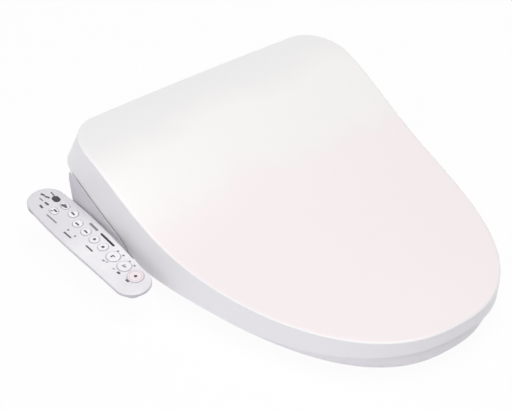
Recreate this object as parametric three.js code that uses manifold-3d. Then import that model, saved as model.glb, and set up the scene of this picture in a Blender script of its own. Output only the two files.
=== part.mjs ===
// Electric bidet seat: a warm-water washing toilet seat with a full lid, a heated seat ring,
// a housing with the wash unit, and a side arm with the keys. Millimetres, +Z up.
// z = 0 is the rim plane of the toilet, the seat's front is at -Y, and the origin lies midway
// between the two fixing bolts. The user's right hand is at -X.
import * as THREE from 'three';
import { LoftGeometry } from 'three/addons/geometries/LoftGeometry.js';
import { mergeVertices } from 'three/addons/utils/BufferGeometryUtils.js';
import Module from 'manifold-3d';

const wasm = await Module();
wasm.setup();

// ---------------------------------------------------------------- driving dimensions
const gap = 0.3;                 // air between pieces that touch or seat
const facets = 24;               // sides of a small round piece

// lid
const creaseHalfWidth = 199;     // the crease is the edge between the lid's top and its skirt
const creaseRear = 47.5;
const lidLength = 489.7;
const creaseFront = creaseRear - lidLength;
const creaseCornerX = 44;
const creaseCornerY = 64;
const widthPower = 2.4;          // superellipse powers of the front outline
const lengthPower = 2.3;
const rearBulge = 2.8;
const flareSide = 3.3;           // the rim, the skirt's lower edge, stands this far outside the crease
const flareRear = 5.8;
const flareFront = 2;
const rimHalfWidth = creaseHalfWidth + flareSide;
const rimRear = creaseRear + flareRear;
const rimFront = creaseFront - flareFront;
const rimCornerX = 20;
const rimCornerY = 38;
const lidWall = 2.5;
const lidCrown = 5;
const crownRunOut = 70;          // the crown dies away over this length before the rear edge
const creaseRound = 4;
// heights along the lid, as fractions of its length from the front
const creaseStations = [0, 0.25, 0.45, 0.6, 0.75, 0.88, 1];
const creaseHeights = [56.1, 55.7, 61.3, 74.6, 102, 125.8, 132.5];
const rimStations = [0, 0.25, 0.5, 0.75, 1];
const rimHeights = [38.5, 22.4, 22, 46.3, 90.5];

// hinge line, shared by the seat and the lid
const hingeY = 0;
const hingeZ = 72;
const pinRadius = 5;
const pinClearance = 0.3;
const pinCover = 2.5;            // left of the housing's ends outside the pins' blind holes
const lidOpenAngle = 98;
const earThickness = 9;
const earRoot = 4;               // the ears start this far inside the seat's rear edge
const earClearance = 2;
const lugClearance = 1.5;
const earRadius = 14;
const lugThickness = 8.5;
const lugRadius = 12;

// housing
const barrelRadius = 46.5;       // the housing's back is round about the hinge line
const housingSetBack = 1.5;      // the housing's ends lie this far inside the crease
const housingHalfWidth = creaseHalfWidth - housingSetBack;
const housingFront = -80;
const housingFloor = 10;
const housingWall = 2.8;
const cheekThickness = 11.2;     // at each end, outside the hinge slot
const slotWidth = 22.5;
const slotOuter = housingHalfWidth - cheekThickness;
const coreHalfWidth = slotOuter - slotWidth;
const footRear = 9;
const shoulderY = -70;
const shoulderZ = 95;
const slotFloorRear = 45;        // height that the slot's floor climbs to behind the hinge
const slotFloor = 3.5;
const ledgeHeight = 23.5;        // the lid's skirt never comes down to here
const shoulderHeight = 50;       // nor to here, in front of this place
const shoulderRear = 1;
// the housing's ends narrow away from the hinge line, as the lid's skirt does: [radius, narrowing]
const sideTaper = [[0, 0], [26, 0.3], [40, 5.2], [46.5, 8.7], [120, 8.7]];

// seat ring
const seatInset = 9.9;           // from the lid's crease to the seat's lower edge
const seatBottom = 10;
const seatHeight = 27;
const seatRear = -84;
const seatCorner = 14;
const seatWall = 2.8;
const seatRise = 5;              // the ring is this much higher at its rear
const seatFront = creaseFront + seatInset;
const ringSideWidth = 85.1;      // the ring's widths at its widest place, its front and its rear
const ringFrontWidth = 48.3;
const ringRearWidth = 24;
const openingFront = seatFront + ringFrontWidth;
const openingRear = seatRear - ringRearWidth;
const openingHalfWidth = creaseHalfWidth - seatInset - ringSideWidth;
const openingHalfLength = (openingRear - openingFront) / 2;
const openingCentreY = (openingRear + openingFront) / 2;
const openingPower = 2.25;
const seatRound = 8;
const coverThickness = 2.4;
const bufferRadius = 9;

// wash nozzles
const nozzleSlope = 38;          // degrees below the horizontal
const nozzleWidth = 10;
const nozzleHeight = 10;
const nozzleLength = 122;
const nozzleSpacing = 17;
const nozzleTipY = -77;
const nozzleTipZ = 18;
const nozzleStroke = 80;
const toothModule = 1;
const pinionTeeth = 14;
const rackOffset = 6.6;          // from the nozzle's axis to the rack's pitch line
const pinionStation = 34;        // from the nozzle's tip, drawn in

// base plate
const plateHalfWidth = 132;
const plateFront = -46;
const plateRear = 36;
const boltHalfSpacing = 70;
const boltSlotWidth = 13;
const boltSlotLength = 44;
const clampRadius = 17;
const clampThickness = 2.6;
const boltRadius = 4.2;

// control arm
const armReach = 40.5;           // from the housing's end to the arm's centre line
const armCentre = [-housingHalfWidth - armReach, -63.5, 50.5];
const armRoll = -2;
const armPitch = 3.5;
const armRearEnd = 117.5;        // from the panel's origin
const armLength = 227.8;
const armWidth = 53;             // at its rear; the arm narrows to its front, more on its outer side
const armFrontWidth = 45.6;
const armSway = 2.5;
const armRim = 4.5;
const armDepth = 17;
const armHullInset = 12.5;
const armWall = 2;
const keyTravel = 0.8;
const keyProud = 1;
const keyClearance = 0.35;
// panel features, in the arm's own plane: x across from its centre line, y along it
const keys = [
  { name: 'key_power', x: 12.5, y: 69.6, length: 13, width: 9 },
  { name: 'key_lamp', x: -2.9, y: 69.8, length: 13, width: 9 },
  { name: 'key_rear_wash', x: 12.5, y: 51, length: 12, width: 12 },
  { name: 'key_soft_wash', x: 7, y: 33, length: 12, width: 12 },
  { name: 'key_front_wash', x: 7, y: 15.1, length: 12, width: 12 },
  { name: 'key_pressure_down', x: 7.4, y: -2.3, length: 12, width: 12 },
  { name: 'key_pressure_up', x: 8, y: -19.6, length: 12, width: 12 },
  { name: 'key_bidet', x: 8.5, y: -40.4, length: 17, width: 16 },
  { name: 'key_rear', x: 9.4, y: -61.7, length: 17, width: 16 },
  { name: 'key_stop', x: 9.9, y: -83.8, length: 19, width: 19 },
];
const sensorLens = { name: 'sensor_lens', x: 11, y: 87.1, length: 12, width: 8.5 };
const levelWindow = { name: 'level_window', x: 19.5, y: -11.8, length: 28, width: 3.4 };
const energyWindow = { name: 'energy_window', x: 19.2, y: 17, length: 17, width: 2.6 };

// ---------------------------------------------------------------- colours
const white = { color: 0xf3efee, roughness: 0.35, metalness: 0 };
const shade = { color: 0xe4e2e6, roughness: 0.4, metalness: 0 };
const keyWhite = { color: 0xf0eff2, roughness: 0.45, metalness: 0 };
const darkPlastic = { color: 0x18181b, roughness: 0.2, metalness: 0 };
const greyPlastic = { color: 0x8e9096, roughness: 0.55, metalness: 0 };
const rubber = { color: 0x55565a, roughness: 0.85, metalness: 0 };
const paleRubber = { color: 0xd9d8da, roughness: 0.7, metalness: 0 };
const steel = { color: 0xb9bcc0, roughness: 0.3, metalness: 1 };
const boardGreen = { color: 0x2f6b45, roughness: 0.6, metalness: 0 };
const foil = { color: 0xc9ccd0, roughness: 0.35, metalness: 1 };
const hoseBlue = { color: 0x9fb7c9, roughness: 0.5, metalness: 0 };

// ---------------------------------------------------------------- solids and meshes
const part = new THREE.Group();

/** A closed geometry as a solid: vertices merged, empty faces dropped, faces turned outwards. */
function solid(geometry) {
  const bare = new THREE.BufferGeometry();
  bare.setAttribute('position', geometry.getAttribute('position'));
  bare.setIndex(geometry.getIndex());
  const merged = mergeVertices(bare, 1e-4);
  const position = merged.getAttribute('position');
  const index = merged.getIndex().array;
  const faces = [];
  let volume = 0;
  const corner = [new THREE.Vector3(), new THREE.Vector3(), new THREE.Vector3()];
  for (let i = 0; i < index.length; i += 3) {
    const [a, b, c] = [index[i], index[i + 1], index[i + 2]];
    if (a === b || b === c || c === a) continue;
    faces.push(a, b, c);
    [a, b, c].forEach((vertex, k) => corner[k].fromBufferAttribute(position, vertex));
    volume += corner[0].dot(corner[1].clone().cross(corner[2]));
  }
  if (volume < 0) faces.reverse();
  const mesh = new wasm.Mesh({
    numProp: 3,
    vertProperties: new Float32Array(position.array),
    triVerts: new Uint32Array(faces),
  });
  return new wasm.Manifold(mesh);
}

const join = (first, ...others) => others.reduce((sum, other) => sum.add(other), first);
const cut = (first, ...tools) => tools.reduce((rest, tool) => rest.subtract(tool), first);
const common = (first, second) => first.intersect(second);

/** A loop drawn together to its middle, which closes a loft's end. */
function pinched(loop) {
  const middle = loop.reduce((sum, point) => sum.add(point), new THREE.Vector3()).divideScalar(loop.length);
  return loop.map(() => middle.clone());
}

const loft = (loops) => solid(new LoftGeometry(loops));
const cappedLoft = (loops) => loft([pinched(loops[0]), ...loops, pinched(loops[loops.length - 1])]);

/** Adds a solid to a group as a named mesh. */
function addPiece(name, body, finish, group = part) {
  const { vertProperties, triVerts } = body.getMesh();
  const geometry = new THREE.BufferGeometry();
  geometry.setAttribute('position', new THREE.BufferAttribute(Float32Array.from(vertProperties), 3));
  geometry.setIndex(new THREE.BufferAttribute(Uint32Array.from(triVerts), 1));
  geometry.computeVertexNormals();
  const mesh = new THREE.Mesh(geometry, new THREE.MeshStandardMaterial(finish));
  mesh.name = name;
  group.add(mesh);
  return mesh;
}

// ---------------------------------------------------------------- form helpers
const radians = THREE.MathUtils.degToRad;
const point2 = (x, y) => new THREE.Vector2(x, y);
const point3 = (x, y, z) => new THREE.Vector3(x, y, z);
const alongXBasis = new THREE.Matrix4().makeBasis(point3(0, 1, 0), point3(0, 0, 1), point3(1, 0, 0));

function block(x0, x1, y0, y1, z0, z1) {
  const geometry = new THREE.BoxGeometry(x1 - x0, y1 - y0, z1 - z0);
  return solid(geometry.translate((x0 + x1) / 2, (y0 + y1) / 2, (z0 + z1) / 2));
}

/** An outline of (x, y) points pulled up from z0 to z1. */
function pillar(points, z0, z1, holes = []) {
  const shape = new THREE.Shape(points);
  shape.holes = holes.map((hole) => new THREE.Path(hole));
  return solid(new THREE.ExtrudeGeometry(shape, { depth: z1 - z0, bevelEnabled: false }).translate(0, 0, z0));
}

/** An outline of (y, z) points pulled along x from x0 to x1, with its two end edges rounded. */
function beam(points, x0, x1, round = 0) {
  const geometry = new THREE.ExtrudeGeometry(new THREE.Shape(points), {
    depth: x1 - x0 - 2 * round,
    bevelEnabled: round > 0,
    bevelThickness: round,
    bevelSize: round,
    bevelOffset: -round,
    bevelSegments: 3,
  });
  return solid(geometry.translate(0, 0, x0 + round).applyMatrix4(alongXBasis));
}

function rodX(radius, x0, x1, y, z, sides = facets) {
  const geometry = new THREE.CylinderGeometry(radius, radius, x1 - x0, sides);
  return solid(geometry.rotateZ(Math.PI / 2).translate((x0 + x1) / 2, y, z));
}

function rodY(radius, x, y0, y1, z, sides = facets) {
  const geometry = new THREE.CylinderGeometry(radius, radius, y1 - y0, sides);
  return solid(geometry.translate(x, (y0 + y1) / 2, z));
}

function rodZ(radius, x, y, z0, z1, sides = facets) {
  const geometry = new THREE.CylinderGeometry(radius, radius, z1 - z0, sides);
  return solid(geometry.rotateX(Math.PI / 2).translate(x, y, (z0 + z1) / 2));
}

function arc(centre, radius, from, to, steps) {
  return Array.from({ length: steps + 1 }, (_, i) => {
    const angle = from + ((to - from) * i) / steps;
    return point2(centre.x + radius * Math.cos(angle), centre.y + radius * Math.sin(angle));
  });
}

/** A closed anticlockwise outline moved inwards by a distance, or outwards by a negative one. */
function inset(points, distance) {
  return points.map((point, i) => {
    const before = points[(i + points.length - 1) % points.length];
    const after = points[(i + 1) % points.length];
    const first = point.clone().sub(before).normalize();
    const second = after.clone().sub(point).normalize();
    const inward = point2(-first.y - second.y, first.x + second.x);
    return point.clone().add(inward.multiplyScalar(distance / (1 + first.dot(second))));
  });
}

/** Where a line from a point touches a circle; side is 1 or -1. */
function tangentPoint(from, centre, radius, side) {
  const offset = from.clone().sub(centre);
  const angle = offset.angle() + side * Math.acos(radius / offset.length());
  return point2(centre.x + radius * Math.cos(angle), centre.y + radius * Math.sin(angle));
}

/** A rounded slot outline, its length along y. */
function slotOutline(x, y, length, width, steps = 8) {
  const radius = width / 2;
  const reach = Math.max(length / 2 - radius, 0.001);
  return [
    ...arc(point2(x, y + reach), radius, 0, Math.PI, steps),
    ...arc(point2(x, y - reach), radius, Math.PI, 2 * Math.PI, steps),
  ];
}

const quarterTurn = Math.PI / 2;

/** A slot with round ends of two radii, joined by straight sides. */
function taperedSlot(rear, rearRadius, front, frontRadius, steps) {
  const run = rear.clone().sub(front);
  const reach = quarterTurn + Math.asin((rearRadius - frontRadius) / run.length());
  const heading = run.angle();
  return [
    ...arc(rear, rearRadius, heading - reach, heading + reach, steps),
    ...arc(front, frontRadius, heading + reach, heading - reach + 2 * Math.PI, steps),
  ];
}

/** A rectangle with round corners, about a centre. */
function roundedRectangle(x, y, width, length, radius, steps = 4) {
  const [reachX, reachY] = [width / 2 - radius, length / 2 - radius];
  return [[1, 1], [-1, 1], [-1, -1], [1, -1]].flatMap(([signX, signY], i) => (
    arc(point2(x + signX * reachX, y + signY * reachY), radius, i * quarterTurn, (i + 1) * quarterTurn, steps)
  ));
}

const ringAt = (points, z) => points.map((point) => point3(point.x, point.y, z));

/** Heights at stations along y, joined by a cubic line that is unbent at its ends. */
function heightLine(stations, heights, front, rear) {
  const places = stations.map((station) => front + (rear - front) * station);
  const last = places.length - 1;
  const run = (i) => places[i + 1] - places[i];
  const slope = (i) => (heights[i + 1] - heights[i]) / run(i);
  const carry = new Array(last + 1).fill(0);
  const bend = new Array(last + 1).fill(0);
  for (let i = 1; i < last; i += 1) {
    const pivot = 2 * (run(i - 1) + run(i)) - run(i - 1) * carry[i - 1];
    carry[i] = run(i) / pivot;
    bend[i] = (6 * (slope(i) - slope(i - 1)) - run(i - 1) * bend[i - 1]) / pivot;
  }
  for (let i = last - 1; i > 0; i -= 1) bend[i] -= carry[i] * bend[i + 1];
  return (y) => {
    const i = THREE.MathUtils.clamp(places.findLastIndex((place) => place <= y), 0, last - 1);
    const [to, from] = [(y - places[i]) / run(i), (places[i + 1] - y) / run(i)];
    const curve = (from ** 3 - from) * bend[i] + (to ** 3 - to) * bend[i + 1];
    return from * heights[i] + to * heights[i + 1] + (curve * run(i) ** 2) / 6;
  };
}

const hinge = point2(hingeY, hingeZ);

// ---------------------------------------------------------------- lid
const creaseHeight = heightLine(creaseStations, creaseHeights, creaseFront, creaseRear);
const rimHeight = heightLine(rimStations, rimHeights, rimFront, rimRear);
const crease = {
  halfWidth: creaseHalfWidth,
  rear: creaseRear,
  front: creaseFront,
  cornerX: creaseCornerX,
  cornerY: creaseCornerY,
};
const rim = {
  halfWidth: rimHalfWidth,
  rear: rimRear,
  front: rimFront,
  cornerX: rimCornerX,
  cornerY: rimCornerY,
};

/** One point of the front curve; t runs from 0 at the tip to a quarter turn at the shoulder. */
function frontPoint(halfWidth, front, shoulder, t) {
  return point2(
    halfWidth * Math.sin(t) ** (2 / widthPower),
    shoulder - (shoulder - front) * Math.cos(t) ** (2 / lengthPower),
  );
}

const mirrored = (right) => [...right, ...right.slice(1, -1).reverse().map((p) => point2(-p.x, p.y))];

/** The lid's outline from its tip round to the rear and back, moved inwards by a distance. */
function lidOutline(edge, inward = 0) {
  const halfWidth = edge.halfWidth - inward;
  const rear = edge.rear - inward;
  const cornerX = edge.cornerX - inward;
  const cornerY = edge.cornerY - inward;
  const shoulder = rear - cornerY;
  const [frontSteps, cornerSteps, rearSteps] = [20, 6, 3];
  const right = [];
  for (let i = 0; i <= frontSteps; i += 1) {
    right.push(frontPoint(halfWidth, edge.front + inward, shoulder, (Math.PI / 2) * (i / frontSteps)));
  }
  for (let i = 1; i <= cornerSteps; i += 1) {
    const angle = (Math.PI / 2) * (i / cornerSteps);
    right.push(point2(halfWidth - cornerX + cornerX * Math.cos(angle), shoulder + cornerY * Math.sin(angle)));
  }
  const flat = halfWidth - cornerX;
  for (let i = 1; i <= rearSteps; i += 1) {
    const across = 1 - i / rearSteps;
    right.push(point2(flat * across, rear + rearBulge * (1 - across ** 2)));
  }
  return mirrored(right);
}

// the top is drawn between the crease and a spine on the centre line
const spineFront = creaseFront + 190;
const spineRear = creaseRear - 85;
const spinePoint = (point) => point2(0, THREE.MathUtils.clamp(point.y, spineFront, spineRear));

/** Half the width of the lid's crease at a place along it. */
function creaseReach(y) {
  const shoulder = creaseRear - creaseCornerY;
  if (y > shoulder) {
    const rise = Math.min((y - shoulder) / creaseCornerY, 1);
    return creaseHalfWidth - creaseCornerX * (1 - Math.sqrt(1 - rise ** 2));
  }
  const run = Math.min((shoulder - y) / (shoulder - creaseFront), 1);
  return creaseHalfWidth * (1 - run ** lengthPower) ** (1 / widthPower);
}

/** How far the top stands above its edge line: most in the middle, none at the crease. */
function crownAt(x, y) {
  const across = Math.min(Math.abs(x) / Math.max(creaseReach(y), 1), 1);
  const toRear = THREE.MathUtils.clamp((y - creaseRear + crownRunOut) / crownRunOut, 0, 1);
  const toFront = THREE.MathUtils.clamp((creaseFront + 2 * crownRunOut - y) / (2 * crownRunOut), 0, 1);
  return lidCrown * (1 - across ** 2) * (1 - toRear ** 2) * (1 - toFront ** 2);
}

/** The loop of the lid's top at a share of the way out from the spine, dropped by a depth. */
function topLoop(outline, share, depth) {
  return outline.map((edge) => {
    const { x, y } = spinePoint(edge).lerp(edge, share);
    return point3(x, y, creaseHeight(y) + crownAt(x, y) - depth);
  });
}

function rimLoop(inward, share = 1) {
  return lidOutline(rim, inward).map((edge) => {
    const place = spinePoint(edge).lerp(edge, share);
    return point3(place.x, place.y, rimHeight(place.y));
  });
}

function lidOuterLoops() {
  const outline = lidOutline(crease);
  const sharp = topLoop(outline, 1, 0);
  const rimLine = rimLoop(0);
  const inner = outline.map((edge) => {
    const reach = spinePoint(edge).distanceTo(edge);
    return topLoop([edge], 1 - creaseRound / reach, 0)[0];
  });
  const outer = sharp.map((corner, i) => {
    const skirt = rimLine[i].distanceTo(corner);
    return corner.clone().lerp(rimLine[i], creaseRound / skirt);
  });
  const rounded = (t) => sharp.map((corner, i) => {
    const first = inner[i].clone().lerp(corner, t);
    const second = corner.clone().lerp(outer[i], t);
    return first.lerp(second, t);
  });
  return [
    ...[0, 0.25, 0.5, 0.7, 0.85].map((share) => topLoop(outline, share, 0)),
    inner,
    rounded(0.33),
    rounded(0.67),
    outer,
    rimLine,
  ];
}

function lidInnerLoops() {
  const outline = lidOutline(crease, lidWall);
  return [
    rimLoop(lidWall),
    ...[1, 0.85, 0.65, 0.4, 0].map((share) => topLoop(outline, share, lidWall)),
  ];
}

const lidForm = loft([...lidOuterLoops(), rimLoop(0, 0)]);

function lidLug(side) {
  const top = creaseHeight(hingeY) + lidCrown;
  const outline = [
    ...arc(hinge, lugRadius, Math.PI, 2 * Math.PI, facets / 2),
    point2(hingeY + lugRadius + 4, top),
    point2(hingeY - lugRadius - 10, top),
  ];
  const outer = slotOuter - lugClearance;
  const web = side > 0
    ? beam(outline, outer - lugThickness, outer)
    : beam(outline, -outer, lugThickness - outer);
  return common(web, lidForm);
}

function makeLid() {
  const shell = loft([...lidOuterLoops(), ...lidInnerLoops()]);
  const bore = rodX(pinRadius + pinClearance, -housingHalfWidth, housingHalfWidth, hingeY, hingeZ);
  addPiece('lid', cut(join(shell, lidLug(1), lidLug(-1)), bore), white);
}

const lidBufferRadius = 8;
const lidTopLimit = 1.5 * Math.max(...creaseHeights);
const lidBufferPlaces = [[112, seatFront + 97.3], [150, seatRear - 121]];

function makeLidBuffers() {
  const cavity = loft([rimLoop(lidWall, 0), ...lidInnerLoops()]).translate(0, 0, -gap);
  lidBufferPlaces.forEach(([x, y], row) => {
    [1, -1].forEach((side) => {
      const foot = seatTop(y) + seatCrown + gap;
      const profile = [
        point2(0, foot),
        point2(lidBufferRadius * 0.55, foot),
        point2(lidBufferRadius * 0.75, foot + 1.5),
        point2(lidBufferRadius, foot + 12),
        point2(lidBufferRadius, lidTopLimit),
        point2(0, lidTopLimit),
      ];
      const pad = new THREE.LatheGeometry(profile, 16).rotateX(Math.PI / 2);
      const name = `lid_buffer_${row ? 'rear' : 'front'}_${side > 0 ? 'left' : 'right'}`;
      addPiece(name, common(solid(pad.translate(side * x, y, 0)), cavity), paleRubber);
    });
  });
}

// ---------------------------------------------------------------- seat ring
const seatCrown = 1.2;
const seatTop = (y) => {
  const share = THREE.MathUtils.smoothstep(y, openingCentreY, seatRear);
  return seatBottom + seatHeight + seatRise * share;
};

/** The seat's outer outline: the lid's front curve, cut off by a straight rear edge. */
function seatOutline() {
  const halfWidth = creaseHalfWidth - seatInset;
  const front = seatFront;
  const shoulder = creaseRear - creaseCornerY;
  const bend = seatRear - seatCorner;
  const last = Math.acos(((shoulder - bend) / (shoulder - front)) ** (lengthPower / 2));
  const frontSteps = 20;
  const right = Array.from({ length: frontSteps + 1 }, (_, i) => (
    frontPoint(halfWidth, front, shoulder, (last * i) / frontSteps)));
  const side = right[right.length - 1].x;
  right.push(...arc(point2(side - seatCorner, bend), seatCorner, 0, Math.PI / 2, 4).slice(1));
  const rearSteps = 6;
  for (let i = 1; i <= rearSteps; i += 1) {
    right.push(point2((side - seatCorner) * (1 - i / rearSteps), seatRear));
  }
  return mirrored(right);
}

/** The seat opening, opposite each point of the outer outline, widened by a distance. */
function openingOutline(outer, widened = 0) {
  const centre = point2(0, openingCentreY);
  const across = openingHalfWidth + widened;
  const along = openingHalfLength + widened;
  return outer.map((edge) => {
    const ray = edge.clone().sub(centre).normalize();
    const spread = Math.abs(ray.x / across) ** openingPower + Math.abs(ray.y / along) ** openingPower;
    return ray.multiplyScalar(spread ** (-1 / openingPower)).add(centre);
  });
}

/** A loop of the seat: outline points with heights counted down from the seat's top. */
const belowTop = (points, depth) => points.map((point) => point3(point.x, point.y, seatTop(point.y) - depth));

function seatLoops() {
  const outer = seatOutline();
  const round = seatRound;
  const midLine = outer.map((edge, i) => edge.clone().lerp(openingOutline(outer)[i], 0.5));
  return {
    outside: [
      ringAt(outer, seatBottom),
      ringAt(inset(outer, -2.6), seatBottom + seatHeight * 0.3),
      belowTop(inset(outer, -3), round),
      belowTop(inset(outer, -0.5), round * 0.35),
      belowTop(inset(outer, round * 0.7), 0),
      belowTop(midLine, -seatCrown),
      belowTop(openingOutline(outer, round * 1.3), 0.6),
      belowTop(openingOutline(outer, round * 0.3), round * 0.45),
      belowTop(openingOutline(outer), round * 1.3),
      ringAt(openingOutline(outer, 1), seatBottom),
    ],
    inside: [
      ringAt(openingOutline(outer, 1 + seatWall), seatBottom),
      belowTop(openingOutline(outer, seatWall), round * 1.3),
      belowTop(openingOutline(outer, round * 1.3), seatWall + 0.8),
      belowTop(midLine, seatWall - seatCrown),
      belowTop(inset(outer, round * 0.7), seatWall),
      belowTop(inset(outer, seatWall - 3), round),
      ringAt(inset(outer, seatWall), seatBottom),
    ],
  };
}

const looped = (loops) => loft([...loops, loops[0]]);

// a recess under the seat's rear lets the nozzles pass
const recessHalfWidth = 24;
const recessTop = 29;
const recessFront = openingRear - 4;

function seatEar(side) {
  const root = seatRear - earRoot;
  const [low, high] = [point2(root, seatBottom + 5), point2(root, seatBottom + seatHeight)];
  const under = tangentPoint(low, hinge, earRadius, 1);
  const over = tangentPoint(high, hinge, earRadius, -1);
  const from = under.clone().sub(hinge).angle() - 2 * Math.PI;
  const to = over.clone().sub(hinge).angle();
  const outline = [low, ...arc(hinge, earRadius, from, to, 14), high];
  const inner = coreHalfWidth + earClearance;
  return side > 0 ? beam(outline, inner, inner + earThickness) : beam(outline, -inner - earThickness, -inner);
}

function makeSeat() {
  const { outside, inside } = seatLoops();
  const form = looped(outside);
  const shell = looped([...outside, ...inside]);
  const lining = common(
    block(
      -recessHalfWidth - seatWall,
      recessHalfWidth + seatWall,
      recessFront,
      seatRear + seatWall,
      seatBottom,
      recessTop + seatWall,
    ),
    form,
  );
  const recess = block(-recessHalfWidth, recessHalfWidth, recessFront - 20, seatRear + 10, 0, recessTop);
  const bore = rodX(pinRadius + pinClearance, -housingHalfWidth, housingHalfWidth, hingeY, hingeZ);
  const body = cut(join(shell, lining, seatEar(1), seatEar(-1)), recess, bore);
  addPiece('seat_upper_shell', body, white);
}

function makeSeatCover() {
  const outer = seatOutline();
  const edge = inset(outer, seatWall + gap);
  const hole = openingOutline(outer, 1 + seatWall + gap);
  const plate = looped([
    ringAt(edge, seatBottom),
    ringAt(edge, seatBottom + coverThickness),
    ringAt(hole, seatBottom + coverThickness),
    ringAt(hole, seatBottom),
  ]);
  const reach = recessHalfWidth + seatWall + gap;
  const notch = block(-reach, reach, recessFront - gap, seatRear + 10, 0, recessTop + 10);
  addPiece('seat_lower_cover', cut(plate, notch), white);
}

const heaterThickness = 0.8;

function makeSeatHeater() {
  const outer = seatOutline();
  const edge = inset(outer, seatRound + 6);
  const hole = openingOutline(outer, seatRound * 1.3 + 5);
  const midLine = outer.map((point, i) => point.clone().lerp(openingOutline(outer)[i], 0.5));
  const upper = seatWall + gap;
  const sheet = looped([
    belowTop(edge, upper + heaterThickness + 0.4),
    belowTop(edge, upper + 0.4),
    belowTop(midLine, upper - seatCrown),
    belowTop(hole, upper + 0.9),
    belowTop(hole, upper + heaterThickness + 0.9),
    belowTop(midLine, upper + heaterThickness - seatCrown),
  ]);
  const reach = recessHalfWidth + seatWall + 6;
  addPiece('seat_heater', cut(sheet, block(-reach, reach, recessFront - 6, seatRear, 0, 60)), foil);
}

const seatBufferPlaces = [[104, seatFront + 122.3], [140, seatRear - 76]];

function makeSeatBuffers() {
  seatBufferPlaces.forEach(([x, y], row) => {
    [1, -1].forEach((side) => {
      const name = `seat_buffer_${row ? 'rear' : 'front'}_${side > 0 ? 'left' : 'right'}`;
      const outline = slotOutline(side * x, y, 36, 2 * bufferRadius);
      addPiece(name, pillar(outline, 0, seatBottom - gap), rubber);
    });
  });
}

// ---------------------------------------------------------------- housing
const splitHeight = hingeZ;      // the cover meets the lower case at the hinge line
const coreSideWall = 2.8;
const coreInside = coreHalfWidth - coreSideWall;

/** The housing's side profile in (y, z): flat foot, round back, sloping top, upright front. */
function housingProfile() {
  const shoulder = point2(shoulderY, shoulderZ);
  const top = tangentPoint(shoulder, hinge, barrelRadius, -1).sub(hinge).angle();
  const foot = -Math.acos((footRear - hingeY) / barrelRadius);
  return [
    point2(housingFront, housingFloor),
    point2(footRear, housingFloor),
    ...arc(hinge, barrelRadius, foot, top, 18),
    shoulder,
    point2(housingFront + 1.5, shoulderZ - 22),
  ];
}

/** What is cut away for a hinge slot: all that lies above its floor. */
function slotCut(side) {
  const radius = barrelRadius - slotFloor;
  const floor = housingFloor + slotFloor;
  const foot = -Math.acos((footRear - slotFloor - hingeY) / radius);
  const rear = Math.asin((slotFloorRear - hingeZ) / radius);
  const far = 2 * housingHalfWidth;
  const outline = [
    point2(-far, floor),
    point2(footRear - slotFloor, floor),
    ...arc(hinge, radius, foot, rear, 6),
    point2(far, slotFloorRear),
    point2(far, far),
    point2(-far, far),
  ];
  return side > 0 ? beam(outline, coreHalfWidth, slotOuter) : beam(outline, -slotOuter, -coreHalfWidth);
}

/** All that the housing's ends may fill: a round form about the hinge line, full width below the ledges. */
function sideLimit() {
  const [last] = sideTaper[sideTaper.length - 1];
  const right = sideTaper.map(([radius, narrowing]) => point2(radius, narrowing - housingHalfWidth));
  const left = right.map((point) => point2(point.x, -point.y)).reverse();
  const turned = new THREE.LatheGeometry([...right, ...left], 48);
  const round = solid(turned.rotateZ(-Math.PI / 2).translate(0, hingeY, hingeZ));
  const low = block(-housingHalfWidth, housingHalfWidth, -last, footRear, 0, ledgeHeight);
  const front = block(-housingHalfWidth, housingHalfWidth, -last, shoulderRear, 0, shoulderHeight);
  return join(round, low, front);
}

// release button, in a pocket under the left ear
const buttonY = -50;
const buttonZ = 20;
const buttonLength = 22;
const buttonHeight = 10;
const buttonDepth = 10;
const buttonTravel = 3;
const buttonEndClearance = 0.5;
const buttonProud = 2.5;
const buttonBlockWidth = 10;
const buttonWall = 3;

// cable gland and the tunnel behind it
const glandY = -27;
const glandZ = 24.5;
const glandRadius = 8;
const glandBore = 4.5;

function nozzleFrame(station, offset) {
  const slope = radians(nozzleSlope);
  const along = point2(Math.cos(slope), Math.sin(slope)).multiplyScalar(station);
  const up = point2(-Math.sin(slope), Math.cos(slope)).multiplyScalar(offset);
  return point2(nozzleTipY, nozzleTipZ).add(along).add(up);
}

/** A stretch of the nozzle's path as a (y, z) outline, between two stations and two offsets. */
const nozzleBand = (from, to, low, high) => [
  nozzleFrame(from, low),
  nozzleFrame(to, low),
  nozzleFrame(to, high),
  nozzleFrame(from, high),
];

const channelHalfWidth = nozzleSpacing / 2 + nozzleWidth / 2 + 1;
const damperRadius = 11;
const damperLength = 34;
const damperSetBack = 8;
const damperInner = coreHalfWidth - damperSetBack - damperLength;
const saddleThickness = 2.6;
const saddlePlaces = [damperInner - saddleThickness - gap, damperInner + damperLength + gap];
const boardWidth = 58.5;
const boardLength = 70;
const boardRear = 4;
const boardOuter = damperInner - saddleThickness - 3.4;
const boardPlace = {
  x0: -boardOuter,
  x1: boardWidth - boardOuter,
  y0: boardRear - boardLength,
  y1: boardRear,
};
const boardHeight = 21;
const boardThickness = 1.6;
const boardRelay = { width: 18, length: 26, height: 17 };
const boardCoil = { width: 16, length: 10, height: 11 };
const capacitorRadius = 6;
const postRadius = 3;

/** A rib from the floor that holds one end of a hinge damper. */
function saddle(x) {
  const foot = housingFloor + 1;
  const reach = damperRadius + 6;
  const outline = [
    point2(-reach, foot),
    point2(5, foot),
    point2(reach, splitHeight - 28),
    point2(reach, splitHeight - 0.2),
    point2(-reach, splitHeight - 0.2),
  ];
  const hole = rodX(pinRadius + pinClearance, x - 5, x + saddleThickness + 5, hingeY, hingeZ);
  return cut(beam(outline, x, x + saddleThickness), hole);
}

function boardPosts() {
  const { x0, x1, y0, y1 } = boardPlace;
  return [[x0 + 5, y0 + 5], [x1 - 5, y0 + 5], [x0 + 5, y1 - 5], [x1 - 5, y1 - 5]]
    .map(([x, y]) => rodZ(postRadius, x, y, housingFloor + 1, boardHeight - gap, 12));
}

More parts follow.
